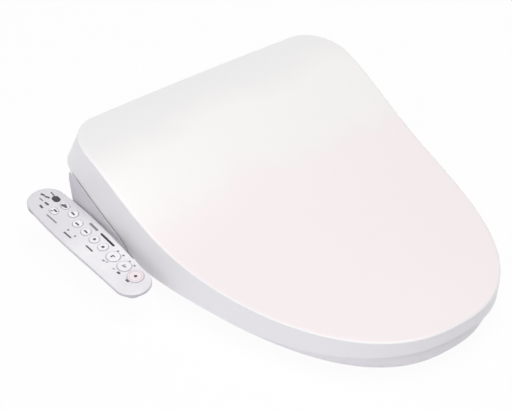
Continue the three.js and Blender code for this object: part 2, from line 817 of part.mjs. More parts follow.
function makeLowerCase() {
  const profile = housingProfile();
  const whole = beam(profile, -housingHalfWidth, housingHalfWidth, 3);
  const above = block(-coreHalfWidth, coreHalfWidth, -200, 200, splitHeight, 200);
  const hollow = beam(inset(profile, housingWall), -coreInside, coreInside);
  const pinReach = housingHalfWidth - pinCover;
  const pins = rodX(pinRadius + pinClearance, -pinReach, pinReach, hingeY, hingeZ);
  const opening = nozzleBand(-40, 12, -nozzleHeight / 2 - 1, nozzleHeight / 2 + 4);
  const port = beam(opening, -channelHalfWidth, channelHalfWidth);
  const latch = block(
    slotOuter - buttonBlockWidth,
    slotOuter + 1,
    buttonY - buttonLength / 2 - buttonWall,
    buttonY + buttonLength / 2 + buttonWall,
    housingFloor + 1,
    buttonZ + buttonHeight / 2 + buttonWall,
  );
  const tunnel = block(
    coreInside + 1,
    slotOuter + 1,
    glandY - glandRadius,
    glandY + glandRadius,
    housingFloor + 1,
    glandZ + glandRadius + 1,
  );
  const clear = pinClearance;
  const pocket = block(
    housingHalfWidth - buttonDepth - buttonTravel - buttonEndClearance,
    housingHalfWidth + 5,
    buttonY - buttonLength / 2 - clear,
    buttonY + buttonLength / 2 + clear,
    buttonZ - buttonHeight / 2 - clear,
    buttonZ + buttonHeight / 2 + clear,
  );
  const cable = rodX(glandBore, coreInside - 2, housingHalfWidth + 5, glandY, glandZ, 16);
  const glandSeat = rodX(glandRadius - 1.5 + clear, slotOuter - 3, housingHalfWidth + 5, glandY, glandZ);
  const wrap = inletBore + 1.5;
  const inletTunnel = block(
    coreInside + 1,
    slotOuter + 1,
    inletY - wrap,
    inletY + wrap,
    housingFloor + 1,
    inletZ + wrap,
  );
  const inletHole = rodX(inletBore, saddlePlaces[1] - 5, housingHalfWidth + 5, inletY, inletZ, 16);
  const ribs = saddlePlaces.flatMap((x) => [saddle(x), saddle(-x - saddleThickness)]);
  const shell = cut(common(whole, sideLimit()), above, slotCut(1), slotCut(-1), hollow);
  const fitted = join(shell, latch, tunnel, inletTunnel, ...ribs, ...boardPosts());
  addPiece('housing_lower_case', cut(fitted, pocket, cable, glandSeat, inletHole, port, pins), shade);
}

function makeUpperCover() {
  const profile = housingProfile();
  const whole = beam(profile, -coreHalfWidth + gap, coreHalfWidth - gap, 2);
  const hollow = beam(inset(profile, housingWall), -coreInside, coreInside);
  const below = block(-200, 200, -200, 200, 0, splitHeight + gap);
  const bore = rodX(pinRadius + pinClearance, -200, 200, hingeY, hingeZ);
  addPiece('housing_upper_cover', cut(whole, hollow, below, bore), white);
}

function makeHingeParts() {
  [1, -1].forEach((side) => {
    const hand = side > 0 ? 'left' : 'right';
    const role = side > 0 ? 'seat_damper' : 'lid_damper';
    const inner = damperInner;
    const outer = damperInner + damperLength;
    const pinFrom = outer + gap;
    const pinTo = housingHalfWidth - pinCover - gap;
    const body = side > 0
      ? rodX(damperRadius, inner, outer, hingeY, hingeZ)
      : rodX(damperRadius, -outer, -inner, hingeY, hingeZ);
    const pin = side > 0
      ? rodX(pinRadius, pinFrom, pinTo, hingeY, hingeZ)
      : rodX(pinRadius, -pinTo, -pinFrom, hingeY, hingeZ);
    addPiece(role, body, greyPlastic);
    addPiece(`hinge_pin_${hand}`, pin, steel);
  });
}

function makeReleaseButton() {
  const outline = roundedRectangle(buttonY, buttonZ, buttonLength, buttonHeight, 2, 3);
  const body = beam(outline, housingHalfWidth - buttonDepth, housingHalfWidth + buttonProud, 0.8);
  addPiece('release_button', body, shade);
}

function makeGland() {
  const neck = rodX(glandRadius - 1.5, slotOuter - 2.5, housingHalfWidth + 1, glandY, glandZ);
  const collar = rodX(glandRadius, housingHalfWidth + gap, housingHalfWidth + 5, glandY, glandZ);
  const bore = rodX(glandBore, slotOuter - 10, housingHalfWidth + 10, glandY, glandZ, 16);
  addPiece('cable_gland', cut(join(neck, collar), bore), greyPlastic);
}

// ---------------------------------------------------------------- water inlet
const inletY = -6;
const inletZ = 20.5;
const inletBore = 4;
const inletPipeReach = 17.5;
const inletPipeX = housingHalfWidth + inletPipeReach;
const inletThreadRadius = 10.4;
const inletBlockLength = 20;
const inletBlockHeight = 24;

function makeInlet() {
  const faceX = housingHalfWidth + gap;
  const half = inletBlockLength / 2;
  const outline = roundedRectangle(
    (faceX + inletPipeX + 11) / 2,
    inletY,
    inletPipeX + 11 - faceX,
    inletBlockLength,
    5,
  );
  const body = pillar(outline, inletZ - inletBlockHeight / 2, inletZ + inletBlockHeight / 2);
  const nozzleEnd = inletY + half + 22;
  const pipe = rodY(inletThreadRadius - 1, inletPipeX, inletY, nozzleEnd, inletZ);
  const threads = [0, 1, 2, 3, 4].map((turn) => (
    rodY(inletThreadRadius, inletPipeX, nozzleEnd - 3.5 - turn * 3.2, nozzleEnd - 2 - turn * 3.2, inletZ)));
  const bore = rodY(inletBore, inletPipeX, inletY, nozzleEnd + 5, inletZ, 16);
  const cross = rodX(inletBore, housingHalfWidth - 5, inletPipeX, inletY, inletZ, 16);
  addPiece('water_inlet', cut(join(body, pipe, ...threads), bore, cross), greyPlastic);
}

// ---------------------------------------------------------------- wash nozzles and their drive
const guideWall = 1.6;
const nozzleClearance = 0.3;
const rackWidth = 4;
const rackFoot = 5;              // offset where the rack's teeth are rooted
const addendum = 0.85 * toothModule;
const dedendum = 1.15 * toothModule;
const backlash = 0.3;
const pitch = Math.PI * toothModule;
const pinionRadius = (toothModule * pinionTeeth) / 2;
const pinionCentre = nozzleFrame(pinionStation, rackOffset + pinionRadius);
const pressureAngle = radians(20);
const motorRadius = 12;
const motorLength = 18;
const shaftRadius = 1.5;

/** Rack teeth as a (y, z) outline, with a gap between teeth under the pinion at rest. */
function rackOutline() {
  const start = pinionStation;
  const teeth = Math.floor((nozzleLength - pinionStation) / pitch) - 1;
  const slant = Math.tan(pressureAngle);
  const half = pitch / 4 - backlash / 4;
  const outline = [nozzleFrame(start - pitch, rackFoot - 1)];
  const top = [];
  for (let tooth = 0; tooth <= teeth; tooth += 1) {
    const middle = start + (tooth - 0.5) * pitch;
    top.push(nozzleFrame(middle - half - dedendum * slant, rackOffset - dedendum));
    top.push(nozzleFrame(middle - half + addendum * slant, rackOffset + addendum));
    top.push(nozzleFrame(middle + half - addendum * slant, rackOffset + addendum));
    top.push(nozzleFrame(middle + half + dedendum * slant, rackOffset - dedendum));
  }
  const last = start + (teeth + 0.5) * pitch;
  outline.push(nozzleFrame(last, rackFoot - 1), ...top.reverse());
  return outline;
}

/** One flank of an involute tooth: its half angle at a radius. */
function toothHalfAngle(radius) {
  const base = pinionRadius * Math.cos(pressureAngle);
  const involute = (angle) => Math.tan(angle) - angle;
  const atPitch = Math.PI / (2 * pinionTeeth) - backlash / (4 * pinionRadius);
  if (radius <= base) return atPitch + involute(pressureAngle);
  return atPitch + involute(pressureAngle) - involute(Math.acos(base / radius));
}

function pinionOutline() {
  const radii = [pinionRadius - dedendum, pinionRadius - 0.3, pinionRadius + 0.4, pinionRadius + addendum];
  const down = -Math.PI / 2 + radians(nozzleSlope);
  return Array.from({ length: pinionTeeth }, (_, tooth) => {
    const middle = down + (tooth * 2 * Math.PI) / pinionTeeth;
    const flank = (side) => radii.map((radius) => {
      const angle = middle + side * toothHalfAngle(radius);
      return point2(pinionCentre.x + radius * Math.cos(angle), pinionCentre.y + radius * Math.sin(angle));
    });
    return [...flank(-1), ...flank(1).reverse()];
  }).flat();
}

function makeNozzle(side) {
  const x = (side * nozzleSpacing) / 2;
  const half = nozzleHeight / 2;
  const body = beam(nozzleBand(0, nozzleLength, -half, half), x - nozzleWidth / 2, x + nozzleWidth / 2, 1.5);
  const rack = beam(rackOutline(), x - rackWidth / 2, x + rackWidth / 2);
  const jets = [-2, 0, 2].map((shift) => {
    const centre = nozzleFrame(9 + shift, half);
    return rodZ(0.6, x + (shift ? 1 : -1), centre.x, centre.y - 2, centre.y + 3, 8);
  });
  addPiece(side > 0 ? 'rear_wash_nozzle' : 'front_wash_nozzle', cut(join(body, rack), ...jets), keyWhite);
}

function makePinion(side) {
  const x = (side * nozzleSpacing) / 2;
  const wheel = beam(pinionOutline(), x - rackWidth / 2 - 0.5, x + rackWidth / 2 + 0.5);
  const outer = x + side * (rackWidth / 2 + 3);
  const hub = rodX(3.2, Math.min(x, outer), Math.max(x, outer), pinionCentre.x, pinionCentre.y, 16);
  const bore = rodX(shaftRadius + pinClearance, -60, 60, pinionCentre.x, pinionCentre.y, 12);
  addPiece(side > 0 ? 'rear_wash_pinion' : 'front_wash_pinion', cut(join(wheel, hub), bore), greyPlastic);
}

const motorFace = channelHalfWidth + guideWall + gap;

function makeMotor(side) {
  const can = side > 0
    ? rodX(motorRadius, motorFace, motorFace + motorLength, pinionCentre.x, pinionCentre.y)
    : rodX(motorRadius, -motorFace - motorLength, -motorFace, pinionCentre.x, pinionCentre.y);
  const reach = nozzleSpacing / 2 - rackWidth / 2 - 1;
  const shaft = side > 0
    ? rodX(shaftRadius, reach, motorFace + 1, pinionCentre.x, pinionCentre.y, 12)
    : rodX(shaftRadius, -motorFace - 1, -reach, pinionCentre.x, pinionCentre.y, 12);
  addPiece(side > 0 ? 'rear_wash_motor' : 'front_wash_motor', join(can, shaft), steel);
}

function makeNozzleGuide() {
  const half = nozzleHeight / 2;
  const bed = half + nozzleClearance + guideWall;
  const stations = [3, nozzleLength - 4];
  const outer = beam(
    nozzleBand(stations[0], stations[1], -bed, half + 1),
    -channelHalfWidth - guideWall,
    channelHalfWidth + guideWall,
  );
  const run = nozzleBand(-20, nozzleLength + 20, -half - nozzleClearance, 40);
  const inner = beam(run, -channelHalfWidth, channelHalfWidth);
  const middle = beam(
    nozzleBand(stations[0], stations[1], -bed, half - 1),
    -nozzleSpacing / 2 + nozzleWidth / 2 + nozzleClearance,
    nozzleSpacing / 2 - nozzleWidth / 2 - nozzleClearance,
  );
  const cheek = (side) => {
    const [near, far] = [side * channelHalfWidth, side * (channelHalfWidth + guideWall)];
    const [x0, x1] = [Math.min(near, far), Math.max(near, far)];
    const plate = beam(
      [
        nozzleFrame(pinionStation - 13, 0),
        nozzleFrame(pinionStation + 13, 0),
        nozzleFrame(pinionStation + 13, rackOffset + pinionRadius + 8),
        nozzleFrame(pinionStation - 13, rackOffset + pinionRadius + 8),
      ],
      x0,
      x1,
    );
    return cut(plate, rodX(shaftRadius + pinClearance, x0 - 5, x1 + 5, pinionCentre.x, pinionCentre.y, 16));
  };
  const [legRear, legFront] = [nozzleFrame(92, -bed + 0.8), nozzleFrame(82, -bed + 0.8)];
  const legFloor = housingFloor + housingWall + gap;
  const leg = beam([point2(legFront.x, legFloor), point2(legRear.x, legFloor), legRear, legFront], -10, 10);
  const inside = beam(inset(housingProfile(), housingWall + gap), -coreInside, coreInside);
  const body = join(cut(outer, inner), middle, cheek(1), cheek(-1), leg);
  addPiece('nozzle_guide', common(body, inside), greyPlastic);
}

// ---------------------------------------------------------------- water path
const floorTop = housingFloor + housingWall + gap;
const valve = { x: coreInside - 22, y: -47, radius: 9, height: 30, half: 12, foot: 14 };
const tankWidth = 40;
const tankSide = valve.x - 23;
const tank = { x0: tankSide - tankWidth, x1: tankSide, y0: -66, y1: 2, top: 60 };
const valveReach = 10;
const pump = { x: tank.x0 - 20, y0: -38, y1: 4, z: 28, radius: 13, head: 14, foot: 9 };
const hoseRadius = 3.5;
const spigotRadius = 2.6;

function makeTank() {
  const { x0, x1, y0, y1, top } = tank;
  const outline = roundedRectangle((x0 + x1) / 2, (y0 + y1) / 2, x1 - x0, y1 - y0, 8);
  const body = pillar(outline, floorTop, top - 4);
  const flange = pillar(inset(outline, -1.5), top - 12, top - 9);
  const crownOutline = inset(outline, 4);
  const crownPlate = pillar(crownOutline, top - 5, top);
  addPiece('warm_water_tank', join(body, flange, crownPlate), paleRubber);
}

function makeValve() {
  const { x, y, radius, height, half, foot } = valve;
  const base = block(x - half, x + half, y - valveReach, y + valveReach, floorTop, floorTop + foot);
  const coil = rodZ(radius, x, y, floorTop + foot - 1, floorTop + height);
  const cap = rodZ(radius * 0.5, x, y, floorTop + height - 1, floorTop + height + 4, 16);
  addPiece('inlet_valve', join(base, coil, cap), darkPlastic);
}

function makePump() {
  const { x, y0, y1, z, radius, head, foot } = pump;
  const motorCan = rodY(radius, x, y0 + head, y1, z);
  const chamber = rodY(radius + 1.5, x, y0, y0 + head + 0.5, z);
  const cradle = block(x - foot, x + foot, y0 + 4, y1 - 4, floorTop, z - radius + 3);
  addPiece('wash_pump', join(motorCan, chamber, cradle), greyPlastic);
}

/** A hose along a smooth line through points. */
function makeHose(name, points) {
  const path = new THREE.CatmullRomCurve3(points.map((p) => point3(...p)));
  const section = new THREE.Shape(arc(point2(0, 0), hoseRadius, 0, 2 * Math.PI, 8).slice(0, -1));
  const geometry = new THREE.ExtrudeGeometry(section, { steps: 18, extrudePath: path, bevelEnabled: false });
  addPiece(name, solid(geometry), hoseBlue);
}

function makeHoses() {
  const { x, y, height } = valve;
  const valveTop = floorTop + height + 4 + gap;
  const tankTop = tank.top + gap;
  const inX = tank.x1 - 14;
  const outX = tank.x0 + 16;
  const pumpTop = pump.z + pump.radius + gap;
  const bend = 8;
  makeHose('inlet_hose', [
    [coreInside - gap, inletY, inletZ],
    [coreInside - 14, inletY, inletZ],
    [x + 1, inletY - bend, inletZ],
    [x, y + valveReach + bend, inletZ],
    [x, y + valveReach + gap, inletZ],
  ]);
  makeHose('supply_hose', [
    [x, y, valveTop],
    [x, y, valveTop + bend],
    [x - 12, y + 3, tankTop + 14],
    [inX + 8, y + 8, tankTop + 13],
    [inX, y + 9, tankTop + bend],
    [inX, y + 9, tankTop],
  ]);
  makeHose('wash_hose', [
    [outX, -14, tankTop],
    [outX, -14, tankTop + bend],
    [outX - 10, -14, tankTop + 13],
    [pump.x + 6, -14, tankTop + 9],
    [pump.x, -14, pumpTop + 14],
    [pump.x, -14, pumpTop],
  ]);
}

// ---------------------------------------------------------------- electronics and deodoriser
function makeControlBoard() {
  const { x0, x1, y0, y1 } = boardPlace;
  const top = boardHeight + boardThickness;
  const seatZ = top - 0.5;
  const board = block(x0, x1, y0, y1, boardHeight, top);
  const [relay, coil] = [boardRelay, boardCoil];
  const parts = [
    block(x0 + 8, x0 + 8 + relay.width, y0 + 14, y0 + 14 + relay.length, seatZ, top + relay.height),
    block(x1 - 8 - coil.width, x1 - 8, y0 + 12, y0 + 12 + coil.length, seatZ, top + coil.height),
    rodZ(capacitorRadius, x1 - 20, (y0 + y1) / 2, seatZ, top + relay.height, 16),
    block(x0 + 12, x1 - 14, y1 - 16, y1 - 10, seatZ, top + coil.height - 2),
  ];
  addPiece('control_board', join(board, ...parts), boardGreen);
}

const fanX = -41;
const fanY = -20;
const fanRadius = 12;
const fanTop = 33;
const cartridgeLength = 34;
const cartridgeWidth = 28;
const fan = { x: fanX, y: fanY, radius: fanRadius, top: fanTop, wall: 2, axle: 1.5, blades: 9 };
const cartridgeRear = fanY - fanRadius - 1.5 - fan.wall - gap;
const cartridge = {
  x0: fanX - cartridgeWidth / 2,
  x1: fanX + cartridgeWidth / 2,
  y0: cartridgeRear - cartridgeLength,
  y1: cartridgeRear,
  top: fanTop,
};

function makeFanCase() {
  const { x, y, radius, top, wall, axle } = fan;
  const side = 2 * (radius + 1.5 + wall);
  const body = pillar(roundedRectangle(x, y, side, side, 4), floorTop, top);
  const well = rodZ(radius + 1.5, x, y, floorTop + wall, top + 5, 32);
  const stub = rodZ(axle, x, y, floorTop + wall - 0.5, top - 3, 12);
  const outlet = block(x - 6, x + 6, y + radius - 4, y + side, floorTop + wall + 2, top - 3);
  addPiece('fan_case', join(cut(body, well, outlet), stub), darkPlastic);
}

function makeImpeller() {
  const { x, y, radius, top, wall, axle, blades } = fan;
  const foot = floorTop + wall + gap;
  const disc = rodZ(radius, x, y, foot, foot + 1.5, 32);
  const hub = rodZ(axle + 2, x, y, foot + 1, top - 4, 16);
  const vanes = Array.from({ length: blades }, (_, i) => {
    const vane = new THREE.BoxGeometry(radius * 0.5, 1, top - 6 - foot);
    vane.rotateZ(radians(35)).translate(radius * 0.68, 0, (top - 4 + foot) / 2);
    return solid(vane.rotateZ((2 * Math.PI * i) / blades).translate(x, y, 0));
  });
  const bore = rodZ(axle + pinClearance, x, y, 0, 100, 12);
  addPiece('fan_impeller', cut(join(disc, hub, ...vanes), bore), greyPlastic);
}

function makeCartridge() {
  const { x0, x1, y0, y1, top } = cartridge;
  const body = pillar(roundedRectangle((x0 + x1) / 2, (y0 + y1) / 2, x1 - x0, y1 - y0, 2), floorTop, top);
  const slots = [5, 12, 19, 26].map((y) => block(x0 + 4, x1 - 4, y0 + y, y0 + y + 3, top - 6, top + 1));
  addPiece('carbon_cartridge', cut(body, ...slots), paleRubber);
}

// ---------------------------------------------------------------- base plate
const matThickness = 1.3;
const plateTop = housingFloor - gap;
const plateBottom = matThickness + gap;
const plateFloor = 3;

function boltSlots() {
  return [1, -1].map((side) => slotOutline(side * boltHalfSpacing, 0, boltSlotLength, boltSlotWidth));
}

function plateOutline(inward = 0) {
  const length = plateRear - plateFront - 2 * inward;
  const centre = (plateRear + plateFront) / 2;
  return roundedRectangle(0, centre, 2 * (plateHalfWidth - inward), length, 12 - inward, 5);
}

function makeBasePlate() {
  const floor = pillar(plateOutline(), plateBottom, plateBottom + plateFloor, boltSlots());
  const wall = pillar(plateOutline(), plateBottom, plateTop, [inset(plateOutline(), 3).reverse()]);
  const rail = (x, top) => block(x - 1.2, x + 1.2, plateFront + 1, plateRear - 1, plateBottom, top);
  const rails = [rail(-30, plateTop), rail(30, plateTop)];
  const guides = [1, -1].flatMap((side) => [-1, 1].map((edge) => (
    rail(side * boltHalfSpacing + edge * (clampRadius + 3), plateTop - 2))));
  addPiece('base_plate', join(floor, wall, ...rails, ...guides), greyPlastic);
}

function makeMat() {
  addPiece('rubber_mat', pillar(plateOutline(2), 0, matThickness, boltSlots()), rubber);
}

function makeClamps() {
  [1, -1].forEach((side) => {
    const x = side * boltHalfSpacing;
    const bottom = plateBottom + plateFloor + gap;
    const disc = rodZ(clampRadius, x, 0, bottom, bottom + clampThickness, 32);
    const hole = rodZ(boltRadius, x, 0, bottom - 5, bottom + 5, 16);
    addPiece(`bolt_clamp_${side > 0 ? 'left' : 'right'}`, cut(disc, hole), shade);
  });
}

// ---------------------------------------------------------------- control arm
const arm = new THREE.Group();
arm.position.set(...armCentre);
arm.rotation.set(radians(armPitch), radians(armRoll), 0, 'XYZ');
part.add(arm);
arm.updateMatrixWorld(true);

const [armRearRadius, armFrontRadius] = [armWidth / 2, armFrontWidth / 2];
const armRearCentre = point2(0, armRearEnd - armRearRadius);
const armFrontCentre = point2(armSway, armRearEnd - armLength + armFrontRadius);

function armOutline(inward) {
  return taperedSlot(
    armRearCentre,
    armRearRadius - inward,
    armFrontCentre,
    armFrontRadius - inward,
    14,
  );
}

const armRing = (inward, z) => ringAt(armOutline(inward), z);
const keyFlange = 1.2;
const armBoardTop = -(armWall + gap + keyFlange + keyTravel + gap);
const armBoardThickness = 1.4;

function featureOutline({ x, y, length, width }, widened = 0) {
  return slotOutline(x, y, length + 2 * widened, width + 2 * widened, 8);
}

function makeArmUpperCasing() {
  const loops = [
    armRing(2.4, 0),
    armRing(0.7, -0.7),
    armRing(0, -2.4),
    armRing(0, -armRim),
    armRing(armWall, -armRim),
    armRing(armWall, -armWall),
  ];
  let body = cappedLoft(loops);
  keys.forEach((key) => {
    body = cut(body, pillar(featureOutline(key, keyClearance), -armWall - 1, 1));
  });
  [sensorLens, levelWindow, energyWindow].forEach((window) => {
    body = cut(body, pillar(featureOutline(window, gap), -armWall - 1, 1));
  });
  addPiece('arm_upper_casing', body, white, arm);
}

function makeKeys() {
  keys.forEach((key) => {
    const cap = pillar(featureOutline(key, 0), -armWall - gap - keyFlange + 0.2, keyProud - 0.5);
    const dome = cappedLoft([
      ringAt(featureOutline(key, -0.05), keyProud - 0.8),
      ringAt(featureOutline(key, -0.9), keyProud),
    ]);
    const flange = pillar(featureOutline(key, 1), -armWall - gap - keyFlange, -armWall - gap);
    addPiece(key.name, join(cap, dome, flange), keyWhite, arm);
  });
}

function makeWindows() {
  [sensorLens, levelWindow, energyWindow].forEach((window) => {
    const face = pillar(featureOutline(window, 0), -armWall - gap - 1, 0);
    const flange = pillar(featureOutline(window, 1), -armWall - gap - 1, -armWall - gap);
    addPiece(window.name, join(face, flange), darkPlastic, arm);
  });
}

function makeArmBoard() {
  const outline = armOutline(armWall + 3 * gap);
  addPiece('arm_board', pillar(outline, armBoardTop - armBoardThickness, armBoardTop), boardGreen, arm);
}

// the neck rises from the housing's end into the arm's hull
const neck = { y0: -74, y1: shoulderRear, z0: 14.5, z1: 41 };
const neckCorner = 6;

/** A section of the neck, across x. */
function neckSection(x, y0, y1, z0, z1) {
  const corner = Math.min(neckCorner, (z1 - z0) / 2.2);
  const outline = roundedRectangle((y0 + y1) / 2, (z0 + z1) / 2, y1 - y0, z1 - z0, corner);
  return outline.map((point) => point3(x, point.x, point.y));
}

function neckForm() {
  const { y0, y1, z0, z1 } = neck;
  const along = [y0 - armCentre[1], y1 - armCentre[1]];
  const inArm = (x, low, high) => neckSection(x, ...along, low, high)
    .map((point) => point.applyMatrix4(arm.matrixWorld));
  return cappedLoft([
    inArm(0, -armDepth + 1, -armRim - 3),
    inArm(armRearRadius * 0.4, -armDepth - 1, -armRim - 3),
    inArm(armRearRadius - 2, -armDepth - 11, -armRim - 2.5),
    neckSection(-housingHalfWidth - 6, y0, y1, z0 + 1, z1 + 0.5),
    neckSection(-housingHalfWidth - gap, y0, y1, z0, z1),
  ]);
}

function makeArmLowerCasing() {
  const seam = -armRim - gap;
  const depths = [0, 0.15, 0.45, 0.8, 1];
  const insets = [0, 0.8, 4.5, 9.5, armHullInset];
  const outer = depths.map((share, i) => armRing(insets[i], seam - share * (armDepth - armRim)));
  const inner = depths.slice(0, -1)
    .map((share, i) => armRing(insets[i] + armWall, seam + (i ? 0 : 1) - share * (armDepth - armRim)));
  const hull = cappedLoft(outer).transform(arm.matrixWorld.elements);
  const hollow = cappedLoft(inner).transform(arm.matrixWorld.elements);
  const postTop = armBoardTop - armBoardThickness - gap;
  const posts = [-0.35, 0, 0.35]
    .map((share) => rodZ(postRadius, 0, share * armLength, -armDepth, postTop, 12))
    .map((post) => common(post.transform(arm.matrixWorld.elements), hull));
  addPiece('arm_lower_casing', join(cut(join(hull, neckForm()), hollow), ...posts), shade);
}

// ---------------------------------------------------------------- assembly
makeLid();
makeLidBuffers();
makeSeat();
makeSeatCover();
makeSeatHeater();
makeSeatBuffers();
makeLowerCase();
makeUpperCover();
makeHingeParts();
makeReleaseButton();
makeGland();
makeInlet();
[1, -1].forEach((side) => {
  makeNozzle(side);
  makePinion(side);
  makeMotor(side);
});
makeNozzleGuide();
makeTank();
makeValve();
makePump();
makeHoses();
makeControlBoard();
makeFanCase();
makeImpeller();
makeCartridge();
makeBasePlate();
makeMat();
makeClamps();
makeArmUpperCasing();
makeKeys();
makeWindows();
makeArmBoard();
makeArmLowerCasing();

export default part;
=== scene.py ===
"""Electric bidet seat: the finished surfaces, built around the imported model.

Sizes below are millimetres and MM turns them into Blender's metres. The seat's front is at -Y,
+Z is up, z = 0 is the toilet's rim plane, and the control arm is at -X.
"""
import math

import bmesh
import bpy
import numpy as np
from mathutils import Matrix, Vector


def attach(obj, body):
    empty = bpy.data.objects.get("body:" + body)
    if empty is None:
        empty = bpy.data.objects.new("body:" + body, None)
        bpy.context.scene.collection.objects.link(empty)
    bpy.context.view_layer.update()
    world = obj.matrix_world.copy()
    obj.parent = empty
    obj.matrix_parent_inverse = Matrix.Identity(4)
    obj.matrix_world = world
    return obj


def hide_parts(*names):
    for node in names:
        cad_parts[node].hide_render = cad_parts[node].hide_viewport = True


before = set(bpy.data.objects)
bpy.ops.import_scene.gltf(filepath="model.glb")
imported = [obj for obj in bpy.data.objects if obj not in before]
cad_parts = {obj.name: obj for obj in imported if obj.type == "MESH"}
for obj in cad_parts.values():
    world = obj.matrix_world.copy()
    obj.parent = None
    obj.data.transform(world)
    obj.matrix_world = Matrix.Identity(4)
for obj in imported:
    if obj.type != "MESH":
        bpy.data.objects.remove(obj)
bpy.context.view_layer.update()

MM = 0.001
QUARTER = math.pi / 2

# ---------------------------------------------------------------- sizes, in millimetres
# lid: the crease is the edge between its top and its skirt, the rim is the skirt's lower edge
CREASE = {"half": 199.0, "rear": 47.5, "front": -442.2, "corner_x": 44.0, "corner_y": 64.0}
RIM = {"half": 202.3, "rear": 53.3, "front": -444.2, "corner_x": 20.0, "corner_y": 38.0}
WIDTH_POWER = 2.4
LENGTH_POWER = 2.3
REAR_BULGE = 2.8
# how many points draw the front from its tip to a shoulder, a rear corner, and half of the rear
FRONT_POINTS = 73
CORNER_POINTS = 21
REAR_POINTS = 15
# and how many rows draw the rounded crease, the skirt and its inner wall
CREASE_ROWS = 8
SKIRT_ROWS = 9
INNER_SKIRT_ROWS = 6
LID_WALL = 2.1
LID_CROWN = 5.0
CROWN_RUN_OUT = 70.0
CREASE_ROUND = 3.0
CREASE_STATIONS = [0, 0.25, 0.45, 0.6, 0.75, 0.88, 1]
CREASE_HEIGHTS = [56.1, 55.7, 61.3, 74.6, 102.0, 125.8, 132.5]
RIM_STATIONS = [0, 0.25, 0.46, 0.6, 0.66, 0.71, 0.76, 0.83, 0.89, 1]
RIM_HEIGHTS = [38.5, 22.4, 21.0, 20.4, 22.4, 31.8, 47.5, 61.5, 74.5, 90.5]
# the spine: the stretch of the middle line that the rows of the lid's top spread from
SPINE_FRONT = CREASE["front"] + 190
SPINE_REAR = CREASE["rear"] - 85
TOP_ROWS = 19
LID_EDGE_ROUND = 0.6
# painted light along the lid: a rose white paints the warm light on its broad front, a clean white paints
# the highlight on its steep band, and a duller white paints the shade at the rear
LID_PAINTED_LIGHT_FRONT = -200.0
LID_PAINTED_LIGHT_REAR = 50.0
LID_PAINTED_LIGHT = [(-125.0, "#F7EFF0"), (-95.0, "#F5F4F2"), (-37.5, "#F5F4F2"), (5.0, "#F0EFEF")]

# hinge line, and the lid's lugs on it: how far their tops reach and sink into the lid's wall
HINGE_Y = 0.0
HINGE_Z = 72.0
PIN_HOLE = 5.3
BORE_REACH = 220.0
LUG_OUTER = 184.8
LUG_THICKNESS = 8.5
LUG_RADIUS = 12.0
LUG_TOP_REAR = 16.0
LUG_TOP_FRONT = -22.0
LUG_SUNK = 1.4

# seat ring
SEAT_INSET = 9.9
SEAT_BOTTOM = 10.0
SEAT_HEIGHT = 27.0
SEAT_REAR = -84.0
SEAT_CORNER = 14.0
SEAT_WALL = 2.8
SEAT_RISE = 5.0
SEAT_CROWN = 1.2
SEAT_ROUND = 8.0
SEAT_BULGE = 3.0
SEAT_EDGE_ROUND = 0.5
COVER_EDGE_ROUND = 0.4
OPENING_HALF_WIDTH = 104.0
OPENING_HALF_LENGTH = 138.0
OPENING_Y = -246.0
OPENING_POWER = 2.25
OPENING_REAR = OPENING_Y + OPENING_HALF_LENGTH
OPENING_DRAFT = 1.0
# the recess: a channel under the ring's rear part, which the nozzles slide out through
RECESS_HALF_WIDTH = 24.0
RECESS_TOP = 29.0
RECESS_FRONT = OPENING_REAR - 24
RECESS_REAR = SEAT_REAR + 10
EAR_INNER = 165.8
EAR_THICKNESS = 9.0
EAR_RADIUS = 14.0
EAR_ROOT = 4.0
EAR_FOOT = 5.0
COVER_THICKNESS = 2.4
GAP = 0.3

# how far the lid's rim and the seat are drawn in round their front ends, and from where
RIM_TUCK = 2.0
SEAT_TUCK = 1.6
TUCK_Y = -180.0
TUCK_RUN = 130.0

# control arm
ARM_CENTRE = (-238.0, -63.5, 50.5)
ARM_PITCH = 3.5
ARM_ROLL = -2.0
# its outline: round ends of two radii joined by sides that swell most near the rear
ARM_REAR_RADIUS = 24.0
ARM_FRONT_RADIUS = 22.8
ARM_REAR_CENTRE = (0.4, 91.4)
ARM_FRONT_CENTRE = (2.5, -87.5)
ARM_OUTER_SWELL = 2.6
ARM_INNER_SWELL = 3.4
ARM_RIM = 3.4
ARM_WALL = 2.0
ARM_DEPTH = 17.0
# the panel: its round edge, how far inside it the flat field begins, and where the painted shade toward
# its rear begins and where it is full
PANEL_ROUND = 2.0
PANEL_FIELD = 9.0
PANEL_SHADE_START_Y = -80.0
PANEL_SHADE_FULL_Y = -25.0
# how the hull draws in on its way down: shares of its depth, and shares of its whole inset there
HULL_INSET = 12.5
HULL_SHARES = [0, 0.12, 0.4, 0.75, 1]
HULL_DRAWN = [0, 0.16, 0.5, 0.84, 1]
HULL_EDGE_ROUND = 0.5
# the neck between the arm's hull and the housing's end: along y, and its height at the housing
HOUSING_END = -197.5
NECK_REAR = 1.0
NECK_FRONT = -74.0
NECK_FOOT = 14.5
NECK_TOP = 41.0
NECK_CORNER = 6.0
NECK_LANDING = 6.0
# the neck inside the hull: (across, foot above the hull's bottom, top below the panel's rim)
NECK_SECTIONS = [(0, 1, 3), (ARM_REAR_RADIUS * 0.4, -1, 3), (ARM_REAR_RADIUS - 2, -11, 2.5)]
# the cheek on the neck, outside the lid's sweep: (y, height of its foot, x of its foot)
CHEEK_GAP = 0.9
CHEEK_WALL = 1.6
CHEEK_LAP = 1.2
CHEEK_SOLE = 3.0
CHEEK_SECTIONS = [(26, 76, -205.4), (21, 66, -207), (14, 56, -209.5), (4, 47, -211), (-14, 44, -211),
                  (-40, 42, -211), (-68, 38, -210.5), (-88, 28, -208)]
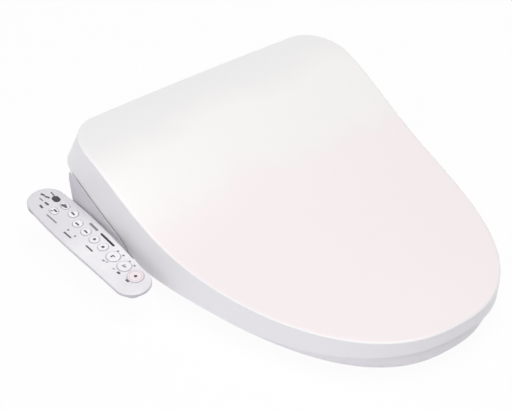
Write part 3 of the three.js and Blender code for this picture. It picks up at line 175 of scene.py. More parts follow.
# keys and windows: each has a flange under the panel and an eased edge, as (inwards, below the top)
KEY_CLEARANCE = 0.35
KEY_PROUD = 1.0
KEY_FLANGE = 1.2
KEY_EDGE = [(0, 0.7), (0.1, 0.35), (0.35, 0.12), (0.9, 0), (2.4, 0)]
WINDOW_FLANGE = 1.0
WINDOW_EDGE = [(0, 0.25), (0.15, 0.05), (0.4, 0)]
FLANGE_REACH = 1.0
# printed ink: its height and how deep its slab is set in, and how far out of a key's edge the two
# edges of a printed ring stand
INK = 0.06
KEY_RING = (0.45, 1.05)
STOP_RING = (-2.5, -1.7)

# keys: place on the panel (across, along), length along, width across
KEYS = {
    "key_power": (12.5, 69.6, 13, 9),
    "key_lamp": (-2.9, 69.8, 13, 9),
    "key_rear_wash": (12.5, 51, 12, 12),
    "key_soft_wash": (7, 33, 12, 12),
    "key_front_wash": (7, 15.1, 12, 12),
    "key_pressure_down": (7.4, -2.3, 12, 12),
    "key_pressure_up": (8, -19.6, 12, 12),
    "key_bidet": (8.5, -40.4, 17, 16),
    "key_rear": (9.4, -61.7, 17, 16),
    "key_stop": (9.9, -83.8, 19, 19),
}
WINDOWS = {
    "sensor_lens": (11, 87.1, 12, 8.5),
    "level_window": (19.5, -11.8, 28, 2.5),
    "energy_window": (19.2, 17, 17, 2.6),
}


# ---------------------------------------------------------------- curves and loops
def smooth_line(stations, heights, front, rear):
    """A natural cubic line through heights at shares of the way from front to rear."""
    places = front + (rear - front) * np.array(stations, float)
    heights = np.array(heights, float)
    run = np.diff(places)
    slope = np.diff(heights) / run
    system = np.eye(len(places))
    load = np.zeros(len(places))
    for i in range(1, len(places) - 1):
        system[i, i - 1:i + 2] = run[i - 1], 2 * (run[i - 1] + run[i]), run[i]
        load[i] = 6 * (slope[i] - slope[i - 1])
    bend = np.linalg.solve(system, load)

    def at(y):
        i = np.clip(np.searchsorted(places, y) - 1, 0, len(run) - 1)
        after = (y - places[i]) / run[i]
        before = 1 - after
        sag = (before ** 3 - before) * bend[i] + (after ** 3 - after) * bend[i + 1]
        return before * heights[i] + after * heights[i + 1] + sag * run[i] ** 2 / 6

    return at


crease_height = smooth_line(CREASE_STATIONS, CREASE_HEIGHTS, CREASE["front"], CREASE["rear"])
rim_height = smooth_line(RIM_STATIONS, RIM_HEIGHTS, RIM["front"], RIM["rear"])


def columns(*values):
    """Points, one in each row, from their coordinates; a single number holds for every point."""
    return np.stack(np.broadcast_arrays(*values), axis=-1).astype(float)


def mirrored(right):
    """The right half of an outline, tip first, with its left half added."""
    left = right[-2:0:-1] * (-1, 1)
    return np.vstack([right, left])


def arc(centre, radius, start, stop, steps):
    """Points along a circle from one angle to another."""
    angle = np.linspace(start, stop, steps + 1)
    return columns(centre[0] + radius * np.cos(angle), centre[1] + radius * np.sin(angle))


def unit(vectors):
    return vectors / np.linalg.norm(vectors, axis=-1, keepdims=True)


def inset(points, distance):
    """A closed anticlockwise outline moved inwards."""
    first = unit(points - np.roll(points, 1, axis=0))
    second = unit(np.roll(points, -1, axis=0) - points)
    total = first + second
    inward = columns(-total[:, 1], total[:, 0])
    return points + inward * (distance / (1 + (first * second).sum(axis=1)))[:, None]


def front_curve(half, front, shoulder, turn):
    """The front outline; turn runs from 0 at the tip to a quarter turn at the shoulder."""
    across = half * np.sin(turn) ** (2 / WIDTH_POWER)
    along = shoulder - (shoulder - front) * np.clip(np.cos(turn), 0, 1) ** (2 / LENGTH_POWER)
    return columns(across, along)


def lid_outline(edge, inward=0.0):
    """The lid's crease or rim from above, drawn inwards; each has a blunt egg's shape."""
    half, rear = edge["half"] - inward, edge["rear"] - inward
    corner_x, corner_y = edge["corner_x"] - inward, edge["corner_y"] - inward
    shoulder = rear - corner_y
    front = front_curve(half, edge["front"] + inward, shoulder, np.linspace(0, QUARTER, FRONT_POINTS))
    angle = np.linspace(0, QUARTER, CORNER_POINTS)[1:]
    corner = columns(half - corner_x + corner_x * np.cos(angle), shoulder + corner_y * np.sin(angle))
    across = 1 - np.linspace(0, 1, REAR_POINTS)[1:]
    back = columns((half - corner_x) * across, rear + REAR_BULGE * (1 - across ** 2))
    return mirrored(np.vstack([front, corner, back]))


def reach_at(edge, y):
    """Half the width of the lid's crease or rim at a place along it."""
    shoulder = edge["rear"] - edge["corner_y"]
    rise = np.clip((y - shoulder) / edge["corner_y"], 0, 1)
    run = np.clip((shoulder - y) / (shoulder - edge["front"]), 0, 1)
    rear = edge["half"] - edge["corner_x"] * (1 - np.sqrt(1 - rise ** 2))
    front = edge["half"] * (1 - run ** LENGTH_POWER) ** (1 / WIDTH_POWER)
    return np.where(y > shoulder, rear, front)


def crown(x, y):
    """How far the lid's top stands above its edge line."""
    across = np.clip(np.abs(x) / np.maximum(reach_at(CREASE, y), 1), 0, 1)
    to_rear = np.clip((y - CREASE["rear"] + CROWN_RUN_OUT) / CROWN_RUN_OUT, 0, 1)
    to_front = np.clip((CREASE["front"] + 2 * CROWN_RUN_OUT - y) / (2 * CROWN_RUN_OUT), 0, 1)
    return LID_CROWN * (1 - across ** 2) * (1 - to_rear ** 2) * (1 - to_front ** 2)


def spine(points):
    """The place on the spine that belongs to each point."""
    return columns(0, np.clip(points[:, 1], SPINE_FRONT, SPINE_REAR))


def top_row(outline, share, depth=0.0):
    """A row of the lid's top, at a share of the way from the spine to an outline."""
    place = spine(outline) + (outline - spine(outline)) * share
    height = crease_height(place[:, 1]) + crown(place[:, 0], place[:, 1]) - depth
    return np.column_stack([place, height])


def tucked(outline, amount):
    """An outline drawn in a little round its front end."""
    centre = np.array([0.0, TUCK_Y])
    share = np.clip((TUCK_Y - outline[:, 1]) / TUCK_RUN, 0, 1)
    return outline - unit(outline - centre) * (amount * share)[:, None]


def rim_row(inward):
    """The lid's rim, drawn inwards, at its heights."""
    outline = tucked(lid_outline(RIM, inward), RIM_TUCK)
    return np.column_stack([outline, rim_height(outline[:, 1])])


def between(first, second, count):
    """Rows spread evenly from one row to another."""
    return [first + (second - first) * share for share in np.linspace(0, 1, count)]


# ---------------------------------------------------------------- meshes
class Form:
    """Points and faces of a piece, in millimetres, gathered before it becomes an object."""

    def __init__(self):
        self.points = []
        self.faces = []

    def loft(self, rows, closed=False, caps=False):
        """Rows of points joined by faces; caps draw the end rows together to their middles."""
        rows = [np.asarray(row, float) for row in rows]
        if caps:
            ends = [np.tile(row.mean(axis=0), (len(row), 1)) for row in (rows[0], rows[-1])]
            rows = [ends[0], *rows, ends[1]]
        start = len(self.points)
        count = len(rows[0])
        for row in rows:
            self.points.extend(row)
        spans = len(rows) if closed else len(rows) - 1
        for r in range(spans):
            low = start + r * count
            high = start + ((r + 1) % len(rows)) * count
            for i in range(count):
                j = (i + 1) % count
                self.faces.append((low + i, low + j, high + j, high + i))
        return self

    def prism(self, outline, low, high, place):
        """An outline pulled from low to high; place turns (u, v, depth) rows into points."""
        return self.loft([place(outline, depth) for depth in (low, high)], caps=True)

    def moved(self, matrix):
        """The form itself, turned and shifted by a matrix."""
        points = np.array(self.points)
        turned = points @ np.array(matrix.to_3x3()).T + np.array(matrix.translation)
        self.points = list(turned)
        return self

    def object(self, name):
        """The form as an object in Blender, its faces turned outwards."""
        mesh = bpy.data.meshes.new(name)
        mesh.from_pydata([tuple(p * MM) for p in np.array(self.points)], [], self.faces)
        work = bmesh.new()
        work.from_mesh(mesh)
        bmesh.ops.remove_doubles(work, verts=work.verts, dist=0.002 * MM)
        bmesh.ops.dissolve_degenerate(work, edges=work.edges, dist=0.001 * MM)
        bmesh.ops.recalc_face_normals(work, faces=work.faces)
        work.to_mesh(mesh)
        work.free()
        return add_object(name, mesh)


def add_object(name, data):
    """A new object in the scene, around a mesh, a lamp or a camera."""
    result = bpy.data.objects.new(name, data)
    bpy.context.scene.collection.objects.link(result)
    return result


def carve(piece, tool, operation="DIFFERENCE"):
    """Cut or join one closed mesh with another, for good."""
    modifier = piece.modifiers.new("carve", "BOOLEAN")
    modifier.operation = operation
    modifier.solver = "EXACT"
    modifier.object = tool
    graph = bpy.context.evaluated_depsgraph_get()
    mesh = bpy.data.meshes.new_from_object(piece.evaluated_get(graph))
    piece.modifiers.clear()
    piece.data = mesh
    bpy.data.objects.remove(tool)
    return piece


def finish_piece(piece, body, finish, nodes=(), sharp=35, rounding=0.0):
    """Shade, round and finish a piece, put it on its body and hide the nodes it stands for."""
    piece.data.materials.clear()
    piece.data.materials.append(FINISH[finish])
    piece.data.shade_smooth()
    piece.data.set_sharp_from_angle(angle=math.radians(sharp))
    if rounding:
        round_edges(piece, rounding, sharp)
    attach(piece, body)
    if nodes:
        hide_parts(*nodes)


def round_edges(piece, width, sharp=35):
    """Round the sharp edges of a piece; its faces keep their shading."""
    bevel = piece.modifiers.new("rounding", "BEVEL")
    bevel.limit_method = "ANGLE"
    bevel.angle_limit = math.radians(sharp)
    bevel.width = width * MM
    bevel.segments = 2
    bevel.use_clamp_overlap = True
    bevel.harden_normals = True


def beam_place(outline, depth):
    """Rows for an outline in (y, z) pulled along x."""
    return columns(depth, outline[:, 0], outline[:, 1])


def pillar_place(outline, depth):
    """Rows for an outline in (x, y) pulled up z."""
    return columns(outline[:, 0], outline[:, 1], depth)


def slot_outline(x, y, length, width, steps=16):
    """A slot along y with round ends; it is a circle where its length and width are alike."""
    radius = width / 2
    reach = max(length / 2 - radius, 0.001)
    rear = arc((x, y + reach), radius, 0, math.pi, steps)
    front = arc((x, y - reach), radius, math.pi, 2 * math.pi, steps)
    return np.vstack([rear, front])


def box_form(half_width, front, rear, low, high):
    """A box that is alike on both sides of the seat's middle."""
    corners = [(-half_width, front), (half_width, front), (half_width, rear), (-half_width, rear)]
    return Form().prism(np.array(corners, float), low, high, pillar_place)


def rounded_rectangle(x, y, width, length, radius, steps=8):
    """A rectangle with round corners about a middle."""
    reach_x, reach_y = width / 2 - radius, length / 2 - radius
    corners = [(1, 1), (-1, 1), (-1, -1), (1, -1)]
    return np.vstack([
        arc((x + sx * reach_x, y + sy * reach_y), radius, i * QUARTER, (i + 1) * QUARTER, steps)
        for i, (sx, sy) in enumerate(corners)
    ])


def at_height(outline, height):
    """An outline laid level at a height."""
    return columns(outline[:, 0], outline[:, 1], height)


def faired(rows, steps=3):
    """More rows between rows, on a smooth curve through them."""
    padded = [2 * rows[0] - rows[1], *rows, 2 * rows[-1] - rows[-2]]
    result = []
    for a, b, c, d in zip(padded, padded[1:], padded[2:], padded[3:]):
        for t in np.linspace(0, 1, steps + 1)[:-1]:
            cubic = 2 * b + (c - a) * t + (2 * a - 5 * b + 4 * c - d) * t ** 2
            result.append((cubic + (3 * b - a - 3 * c + d) * t ** 3) / 2)
    return [*result, rows[-1]]


def band_form(inside, outside, low, high):
    """A closed band between two outlines and two heights."""
    corners = [(inside, low), (outside, low), (outside, high), (inside, high)]
    return Form().loft([at_height(outline, height) for outline, height in corners], closed=True)


def plate_form(outline, first, second, edge):
    """An upright plate between two places across x, its edges eased by (inwards, deep) pairs."""
    near, far = sorted([first, second])
    ends = [(near + deep, inward) for inward, deep in edge]
    ends += [(far - deep, inward) for inward, deep in reversed(edge)]
    return Form().loft([beam_place(inset(outline, inward), x) for x, inward in ends], caps=True)


def join_hinge_plates(piece, plate):
    """Join a plate, bored for the hinge pins, to a piece on either side."""
    for side in (1, -1):
        blank = plate(side).object("blank")
        pin_line = arc((HINGE_Y, HINGE_Z), PIN_HOLE, 0, 2 * math.pi, 48)[:-1]
        carve(blank, Form().prism(pin_line, -BORE_REACH, BORE_REACH, beam_place).object("bore"))
        carve(piece, blank, "UNION")


# ---------------------------------------------------------------- finishes
# the sockets of a colour mix: its two colours going in, and the mixed one coming out
MIX_FIRST, MIX_SECOND, MIX_OUT = 6, 7, 2


def srgb(code):
    """An sRGB hex value as linear colour."""
    channels = [int(code[i:i + 2], 16) / 255 for i in (1, 3, 5)]
    linear = [c / 12.92 if c <= 0.04045 else ((c + 0.055) / 1.055) ** 2.4 for c in channels]
    return (*linear, 1.0)


def add(tree, kind, feeds=None, **settings):
    """Add a shader node. Settings are its properties; feeds are its inputs, values or sockets."""
    node = tree.nodes.new("ShaderNode" + kind)
    for key, value in settings.items():
        setattr(node, key, value)
    for key, value in (feeds or {}).items():
        if isinstance(value, bpy.types.NodeSocket):
            tree.links.new(value, node.inputs[key])
        else:
            node.inputs[key].default_value = value
    return node


def empty_tree(owner):
    """The cleared node tree of a material or a world."""
    owner.use_nodes = True
    owner.node_tree.nodes.clear()
    return owner.node_tree


def per(size):
    """A texture scale whose pattern repeats about every so many millimetres."""
    return 1000 / size


def start_finish(name, colour, roughness, ior=1.5, metallic=0.0, **sockets):
    """A principled material with its even values set on the shader, and object coordinates."""
    material = bpy.data.materials.new(name)
    tree = empty_tree(material)
    feeds = {"Base Color": srgb(colour), "Roughness": roughness, "IOR": ior, "Metallic": metallic}
    feeds.update({key.replace("_", " "): value for key, value in sockets.items()})
    shader = add(tree, "BsdfPrincipled", feeds)
    add(tree, "OutputMaterial", {"Surface": shader.outputs["BSDF"]})
    place = add(tree, "TexCoord").outputs["Object"]
    return material, tree, shader, place


def end_finish(material, shader, tone, relief=None, strength=0.5, depth=0.02):
    """Give the shader its colour and, from a grey pattern, a relief so many millimetres deep."""
    tree = material.node_tree
    tree.links.new(tone, shader.inputs["Base Color"])
    if relief is not None:
        bump = add(tree, "Bump", {
            "Height": relief, "Strength": strength, "Distance": depth * MM})
        tree.links.new(bump.outputs["Normal"], shader.inputs["Normal"])
    return material


def blend_colours(tree, factor, *stops):
    """sRGB colours, each at its level of a grey pattern, blended from one to the next."""
    ramp = add(tree, "ValToRGB", {"Fac": factor})
    bands = ramp.color_ramp.elements
    for _ in stops[2:]:
        bands.new(1.0)
    for band, (level, colour) in zip(bands, stops):
        band.position = level
        band.color = srgb(colour)
    return ramp.outputs["Color"]


def mottle(tree, place, size, detail, first, second):
    """Two sRGB colours in soft patches, about so many millimetres across."""
    patches = add(tree, "TexNoise", {"Vector": place, "Scale": per(size), "Detail": detail})
    return blend_colours(tree, patches.outputs["Fac"], (0.35, first), (0.65, second))


def painted_light_by_facing(tree, level_colour, side_colour, low, high):
    """Painted light and shade by facing: a colour on what faces up at rest and another on what faces
    aside, blended between two slopes.
    """
    facing = add(tree, "TexCoord").outputs["Normal"]
    upward = add(tree, "SeparateXYZ", {"Vector": facing}).outputs["Z"]
    level = add(tree, "MapRange", {"Value": upward, "From Min": low, "From Max": high})
    mixed = add(tree, "Mix", {"Factor": level.outputs["Result"], MIX_FIRST: side_colour,
                              MIX_SECOND: level_colour}, data_type="RGBA")
    return mixed.outputs[MIX_OUT]


def end_polished(material, shader, place, tone, roughness):
    """The skin that a polished mould leaves: a slight wave, and a faint haze in the shine."""
    tree = material.node_tree
    # the wave is about 12 mm long and a few micrometres high
    wave = add(tree, "TexNoise", {"Vector": place, "Scale": per(12), "Detail": 1.0})
    # the haze lies in 2 mm patches, drawn coarser than the real one so that it shows
    haze = add(tree, "TexNoise", {"Vector": place, "Scale": per(2), "Detail": 3.0})
    rough = add(tree, "MapRange", {
        "Value": haze.outputs["Fac"], "To Min": roughness - 0.04, "To Max": roughness + 0.05})
    tree.links.new(rough.outputs["Result"], shader.inputs["Roughness"])
    return end_finish(material, shader, tone, wave.outputs["Fac"], 0.35, 0.02)


def seat_polypropylene():
    """The seat's polypropylene: an even white with a soft, slightly wavy shine."""
    material, tree, shader, place = start_finish("polypropylene_seat", "#F4F2F4", 0.36, ior=1.49)
    tone = mottle(tree, place, 90, 2.0, "#F0EEF1", "#F4F2F4")
    return end_polished(material, shader, place, tone, 0.36)


def lid_polypropylene():
    """The lid's polypropylene: white, with painted light that runs along it and a painted highlight on
    its crease.
    """
    material, tree, shader, place = start_finish("polypropylene_lid", "#F6F5F5", 0.32, ior=1.49)
    along = add(tree, "SeparateXYZ", {"Vector": place}).outputs["Y"]
    cloud = add(tree, "TexNoise", {"Vector": place, "Scale": per(110), "Detail": 2.0})
    # the borders between the zones of painted light wander by about 25 mm either way
    wander = add(tree, "Math", {0: cloud.outputs["Fac"], 1: 100 * MM, 2: -50 * MM},
                 operation="MULTIPLY_ADD")
    border = add(tree, "Math", {0: along, 1: wander.outputs["Value"]}, operation="ADD")
    share = add(tree, "MapRange", {"Value": border.outputs["Value"],
                                   "From Min": LID_PAINTED_LIGHT_FRONT * MM, "From Max": LID_PAINTED_LIGHT_REAR * MM})
    # these tones are painted light: warm light on the front, a highlight on the steep band, shade at the
    # rear
    length = LID_PAINTED_LIGHT_REAR - LID_PAINTED_LIGHT_FRONT
    tone = blend_colours(tree, share.outputs["Result"],
                         *[((y - LID_PAINTED_LIGHT_FRONT) / length, colour) for y, colour in LID_PAINTED_LIGHT])
    # the near-white on faces turning between the top and the skirt is a painted highlight along the
    # rounded crease
    edge = painted_light_by_facing(tree, srgb("#FEFEFE"), srgb("#F5F4F5"), 0.3, 0.5)
    return end_polished(material, shader, place, painted_light_by_facing(tree, tone, edge, 0.76, 0.84), 0.32)


def spark_textured_abs(name, colour, deeper, roughness, grain=0.6, depth=0.02, side=None, rear=None):
    """ABS from a spark-eroded mould: a fine even grain that breaks the shine up into satin. A rear colour
    paints shade toward the rear, a side colour paints shade on faces that turn aside.
    """
    material, tree, shader, place = start_finish(name, colour, roughness, ior=1.53)
    tone = mottle(tree, place, 40, 3.0, deeper, colour)
    # painted shade: the colour darkens toward the rear
    if rear:
        along = add(tree, "SeparateXYZ", {"Vector": place}).outputs["Y"]
        share = add(tree, "MapRange", {
            "Value": along, "From Min": PANEL_SHADE_START_Y * MM, "From Max": PANEL_SHADE_FULL_Y * MM})
        tone = add(tree, "Mix", {"Factor": share.outputs["Result"], MIX_FIRST: tone,
                                 MIX_SECOND: srgb(rear)}, data_type="RGBA").outputs[MIX_OUT]
    # painted shade on the faces that turn aside
    if side:
        tone = painted_light_by_facing(tree, tone, srgb(side), 0.5, 0.8)
    # the real grain is about 0.1 mm; it is drawn several times coarser so that it shows
    pits = add(tree, "TexNoise", {"Vector": place, "Scale": per(grain), "Detail": 4.0})
    return end_finish(material, shader, tone, pits.outputs["Fac"], 0.5, depth)


def screen_ink(name, colour, worn):
    """Screen-printed ink: matt, a little thin where the mesh of the screen left it."""
    material, tree, shader, place = start_finish(name, colour, 0.55)
    mesh = add(tree, "TexVoronoi", {"Vector": place, "Scale": per(0.5)})
    tone = blend_colours(tree, mesh.outputs["Distance"], (0.45, colour), (1.0, worn))
    return end_finish(material, shader, tone)


def smoked_acrylic(name, colour, lighter):
    """Tinted acrylic, moulded glossy: nearly black with a sharp shine and a paler depth."""
    material, tree, shader, place = start_finish(name, colour, 0.12, ior=1.49, Coat_Weight=0.5)
    return end_finish(material, shader, mottle(tree, place, 6, 1.0, colour, lighter))


def moulded_rubber(name, colour, paler, roughness=0.75):
    """Moulded rubber: dull, with a bloom of pale dust and a faint grain."""
    material, tree, shader, place = start_finish(name, colour, roughness, ior=1.52)
    bloom = mottle(tree, place, 5, 5.0, colour, paler)
    grain = add(tree, "TexNoise", {"Vector": place, "Scale": per(0.4), "Detail": 2.0})
    return end_finish(material, shader, bloom, grain.outputs["Fac"], 0.6, 0.03)


def turned_steel(name, colour, darker):
    """Steel turned in a lathe: bright, with fine rings round the axis along x."""
    material, tree, shader, place = start_finish(name, colour, 0.25, metallic=1.0)
    rings = add(tree, "TexWave", {"Vector": place, "Scale": per(2.5), "Distortion": 0.4},
                wave_type="BANDS", bands_direction="X").outputs["Fac"]
    tone = blend_colours(tree, rings, (0.0, darker), (1.0, colour))
    return end_finish(material, shader, tone, rings, 0.4, 0.01)


def filled_nylon(name, colour, paler):
    """Glass-filled nylon: satin grey, with pale streaks where the fibres reach the skin."""
    material, tree, shader, place = start_finish(name, colour, 0.5, ior=1.53)
    stretched = add(tree, "Mapping", {"Vector": place, "Scale": (1.0, 0.2, 1.0)})
    fibres = add(tree, "TexNoise", {
        "Vector": stretched.outputs["Vector"], "Scale": per(1.2), "Detail": 6.0,
        "Roughness": 0.7}).outputs["Fac"]
    tone = blend_colours(tree, fibres, (0.4, colour), (0.75, paler))
    return end_finish(material, shader, tone, fibres, 0.4, 0.02)


def milled_acetal(name, colour, deeper):
    """Acetal: a waxy off-white that lets a little light in, with a slippery sheen."""
    material, tree, shader, place = start_finish(
        name, colour, 0.3, ior=1.48, Subsurface_Weight=0.15, Subsurface_Scale=1.5 * MM)
    return end_finish(material, shader, mottle(tree, place, 8, 2.0, deeper, colour))


def masked_circuit_board(name, mask, copper):
    """Epoxy glass board under green solder mask: glossy, with copper tracks as a paler relief."""
    material, tree, shader, place = start_finish(name, mask, 0.3, ior=1.55)
    tracks = add(tree, "TexBrick", {
        "Vector": place, "Scale": per(9), "Mortar Size": 0.05, "Mortar Smooth": 0.1,
        "Color1": srgb(mask), "Color2": srgb(mask), "Mortar": srgb(copper)}, offset=0.37)
    return end_finish(material, shader, tracks.outputs["Color"], tracks.outputs["Fac"], 0.5, 0.04)


def rolled_foil(name, colour, darker):
    """Rolled aluminium foil with the heating wire's loops pressed through it."""
    material, tree, shader, place = start_finish(name, colour, 0.32, metallic=1.0)
    wire = add(tree, "TexWave", {"Vector": place, "Scale": per(55), "Distortion": 1.5},
               wave_type="RINGS", rings_direction="Z").outputs["Fac"]
    tone = blend_colours(tree, wire, (0.0, darker), (0.3, colour))
    return end_finish(material, shader, tone, wire, 0.7, 0.6)


def silicone_hose(name, colour, deeper):
    """Extruded silicone: milky and soft, with light inside it."""
    material, tree, shader, place = start_finish(
        name, colour, 0.4, ior=1.43, Subsurface_Weight=0.3, Subsurface_Scale=2 * MM)
    return end_finish(material, shader, mottle(tree, place, 6, 2.0, deeper, colour))


FINISH = {
    "lid": lid_polypropylene(),
    "seat": seat_polypropylene(),
    # the housing's and the arm hull's greyer whites are painted shade, for the shade they sit in under
    # the lid and beside the arm
    "housing": spark_textured_abs("abs_housing_painted_shade", "#DDDADF", "#D9D6DB", 0.45),
    "arm": spark_textured_abs("abs_arm_hull_painted_shade", "#D6D3DA", "#CFCCD3", 0.45),
    # the panel's rear colour is painted shade toward its rear, and its side colour is painted shade on
    # its edge wall
    "panel": spark_textured_abs("abs_arm_panel", "#F1F0F2", "#E7E5E9", 0.4, 0.5, 0.01,
                                side="#D3D1D6", rear="#DFDDE2"),
    "key": spark_textured_abs("abs_keys", "#F3F2F4", "#EDECEF", 0.38, 0.5, 0.008),
    "rose_key": spark_textured_abs("abs_key_rose", "#F5EDEF", "#F2E8EB", 0.38, 0.5, 0.008),
    "ink": screen_ink("ink_dark", "#2B2A30", "#4A4950"),
    "ink_mid": screen_ink("ink_mid_grey", "#54535B", "#6E6D76"),
    "ink_grey": screen_ink("ink_grey", "#85848D", "#9F9EA6"),
    "ink_pale": screen_ink("ink_pale_grey", "#B9B8C0", "#C8C7CE"),
    "ink_rose": screen_ink("ink_rose", "#E3C6CA", "#EAD4D8"),
    "smoked": smoked_acrylic("acrylic_smoked", "#121215", "#26262B"),
    "grey_window": smoked_acrylic("acrylic_grey", "#85858D", "#9696A0"),
    "rubber": moulded_rubber("epdm_rubber", "#4B4C50", "#5D5E62"),
    "pale_rubber": moulded_rubber("elastomer_pale", "#D6D5D8", "#DEDDE0", 0.6),
    "steel": turned_steel("steel_turned", "#C4C7CB", "#9EA2A7"),
    "nylon": filled_nylon("nylon_filled", "#85878D", "#9A9CA2"),
    "black_nylon": filled_nylon("nylon_black", "#1D1D20", "#2E2E32"),
    "acetal": milled_acetal("acetal_white", "#F2F1EE", "#E6E5E1"),
    "grey_acetal": milled_acetal("acetal_grey", "#A5A7AC", "#95979D"),
    "tank": milled_acetal("polypropylene_tank", "#E4E2DF", "#D5D3D0"),
    "board": masked_circuit_board("board_green", "#23553A", "#4E8A5C"),
    "foil": rolled_foil("foil_aluminium", "#D2D5D8", "#9DA1A6"),
    "hose": silicone_hose("silicone_blue", "#A9C0D2", "#8FA9BE"),
}


# ---------------------------------------------------------------- lid
def lid_top_rows(outline, depth=0.0):
    """Rows from the spine out to where the crease's rounding starts."""
    reach = np.linalg.norm(outline - spine(outline), axis=1)
    last = 1 - (CREASE_ROUND / reach)[:, None] if depth == 0 else 1.0
    # the rows draw closer together toward the crease
    return [top_row(outline, share * last, depth) for share in np.linspace(0, 1, TOP_ROWS) ** 0.8]


def lid_form():
    """The lid as one shell: over its top, round its crease and down its skirt, and back inside."""
    outline = lid_outline(CREASE)
    corner = top_row(outline, 1.0)
    rim = rim_row(0.0)
    top = lid_top_rows(outline)
    skirt = np.linalg.norm(rim - corner, axis=1)
    outer = corner + (rim - corner) * (CREASE_ROUND / skirt)[:, None]
    rounding = []
    for share in np.linspace(0, 1, CREASE_ROWS)[1:-1]:
        first = top[-1] + (corner - top[-1]) * share
        second = corner + (outer - corner) * share
        rounding.append(first + (second - first) * share)
    outside = [*top, *rounding, *between(outer, rim, SKIRT_ROWS)]
    inner_top = lid_top_rows(lid_outline(CREASE, LID_WALL), LID_WALL)
    inner_rim = rim_row(LID_WALL)
    inside = [*between(inner_rim, inner_top[-1], INNER_SKIRT_ROWS)[:-1], *inner_top[::-1]]
    return Form().loft([*outside, *inside])


def lug_form(side):
    """A hinge plate under the lid, from the hinge line up into its wall."""
    below = arc((HINGE_Y, HINGE_Z), LUG_RADIUS, math.pi, 2 * math.pi, 24)
    along = HINGE_Y + np.linspace(LUG_TOP_REAR, LUG_TOP_FRONT, 10)
    middle = LUG_OUTER - LUG_THICKNESS / 2
    top = columns(along, crease_height(along) + crown(middle, along) - LUG_SUNK)
    outer, inner = side * LUG_OUTER, side * (LUG_OUTER - LUG_THICKNESS)
    return plate_form(np.vstack([below, top]), outer, inner, [(0.8, 0.0), (0.0, 0.8)])


def build_lid():
    lid = lid_form().object("lid_shell")
    join_hinge_plates(lid, lug_form)
    finish_piece(lid, "lid", "lid", ["lid"], rounding=LID_EDGE_ROUND)


# ---------------------------------------------------------------- seat ring
def seat_top(y):
    """The height of the ring's top, which rises toward the rear."""
    share = np.clip((y - OPENING_Y) / (SEAT_REAR - OPENING_Y), 0, 1)
    return SEAT_BOTTOM + SEAT_HEIGHT + SEAT_RISE * share ** 2 * (3 - 2 * share)


def seat_outline():
    """The ring's outer edge: the lid's front curve drawn inwards, and a straight rear."""
    half = CREASE["half"] - SEAT_INSET
    front = CREASE["front"] + SEAT_INSET
    shoulder = CREASE["rear"] - CREASE["corner_y"]
    bend = SEAT_REAR - SEAT_CORNER
    last = math.acos(((shoulder - bend) / (shoulder - front)) ** (LENGTH_POWER / 2))
    curve = front_curve(half, front, shoulder, np.linspace(0, last, FRONT_POINTS))
    side = curve[-1, 0]
    corner = arc((side - SEAT_CORNER, bend), SEAT_CORNER, 0, QUARTER, 12)[1:]
    back = columns((side - SEAT_CORNER) * (1 - np.linspace(0, 1, 25)[1:]), SEAT_REAR)
    return tucked(mirrored(np.vstack([curve, corner, back])), SEAT_TUCK)


def opening_outline(outer, widened=0.0):
    """The seat opening, opposite each point of the outer outline."""
    centre = np.array([0, OPENING_Y])
    ray = unit(outer - centre)
    across, along = OPENING_HALF_WIDTH + widened, OPENING_HALF_LENGTH + widened
    # the superellipse reaches 1 where a ray from its middle crosses it
    spread = np.abs(ray[:, 0] / across) ** OPENING_POWER + np.abs(ray[:, 1] / along) ** OPENING_POWER
    return ray * (spread ** (-1 / OPENING_POWER))[:, None] + centre


def below_top(outline, depth):
    """An outline laid at a depth under the ring's top."""
    return np.column_stack([outline, seat_top(outline[:, 1]) - depth])


def seat_form():
    """The ring as one shell: over its outside from rim to opening, and back along its inside."""
    # each row stands where the section turns; most places are shares of its round
    outer = seat_outline()
    middle = (outer + opening_outline(outer)) / 2
    outside = faired([
        at_height(outer, SEAT_BOTTOM),
        at_height(inset(outer, 0.4 - SEAT_BULGE), SEAT_BOTTOM + SEAT_HEIGHT * 0.3),
        below_top(inset(outer, -SEAT_BULGE), SEAT_ROUND),
        below_top(inset(outer, -0.5), SEAT_ROUND * 0.35),
        below_top(inset(outer, SEAT_ROUND * 0.7), 0),
        below_top(middle, -SEAT_CROWN),
        below_top(opening_outline(outer, SEAT_ROUND * 1.3), 0.6),
        below_top(opening_outline(outer, SEAT_ROUND * 0.3), SEAT_ROUND * 0.45),
        below_top(opening_outline(outer), SEAT_ROUND * 1.3),
        at_height(opening_outline(outer, OPENING_DRAFT), SEAT_BOTTOM),
    ])
    inside = [
        at_height(opening_outline(outer, OPENING_DRAFT + SEAT_WALL), SEAT_BOTTOM),
        below_top(opening_outline(outer, SEAT_WALL), SEAT_ROUND * 1.3),
        below_top(opening_outline(outer, SEAT_ROUND * 1.3), SEAT_WALL + 0.8),
        below_top(middle, SEAT_WALL - SEAT_CROWN),
        below_top(inset(outer, SEAT_ROUND * 0.7), SEAT_WALL),
        below_top(inset(outer, SEAT_WALL - SEAT_BULGE), SEAT_ROUND),
        at_height(inset(outer, SEAT_WALL), SEAT_BOTTOM),
    ]
    return Form().loft([*outside, *inside], closed=True)


def tangent_angle(point, radius, side):
    """Where a line from a point touches a circle about the hinge line, as an angle."""
    offset = np.array(point) - (HINGE_Y, HINGE_Z)
    return math.atan2(offset[1], offset[0]) + side * math.acos(radius / np.linalg.norm(offset))


def ear_form(side):
    """A hinge ear: a plate from the seat's rear edge up to the hinge line."""
    low = (SEAT_REAR - EAR_ROOT, SEAT_BOTTOM + EAR_FOOT)
    high = (SEAT_REAR - EAR_ROOT, SEAT_BOTTOM + SEAT_HEIGHT)
    start = tangent_angle(low, EAR_RADIUS, 1)
    stop = tangent_angle(high, EAR_RADIUS, -1)
    while start > stop:
        start -= 2 * math.pi
    outline = np.vstack([low, arc((HINGE_Y, HINGE_Z), EAR_RADIUS, start, stop, 36), high])
    inner, outer = side * EAR_INNER, side * (EAR_INNER + EAR_THICKNESS)
    return plate_form(outline, inner, outer, [(1.0, 0.0), (0.3, 0.3), (0.0, 1.0)])


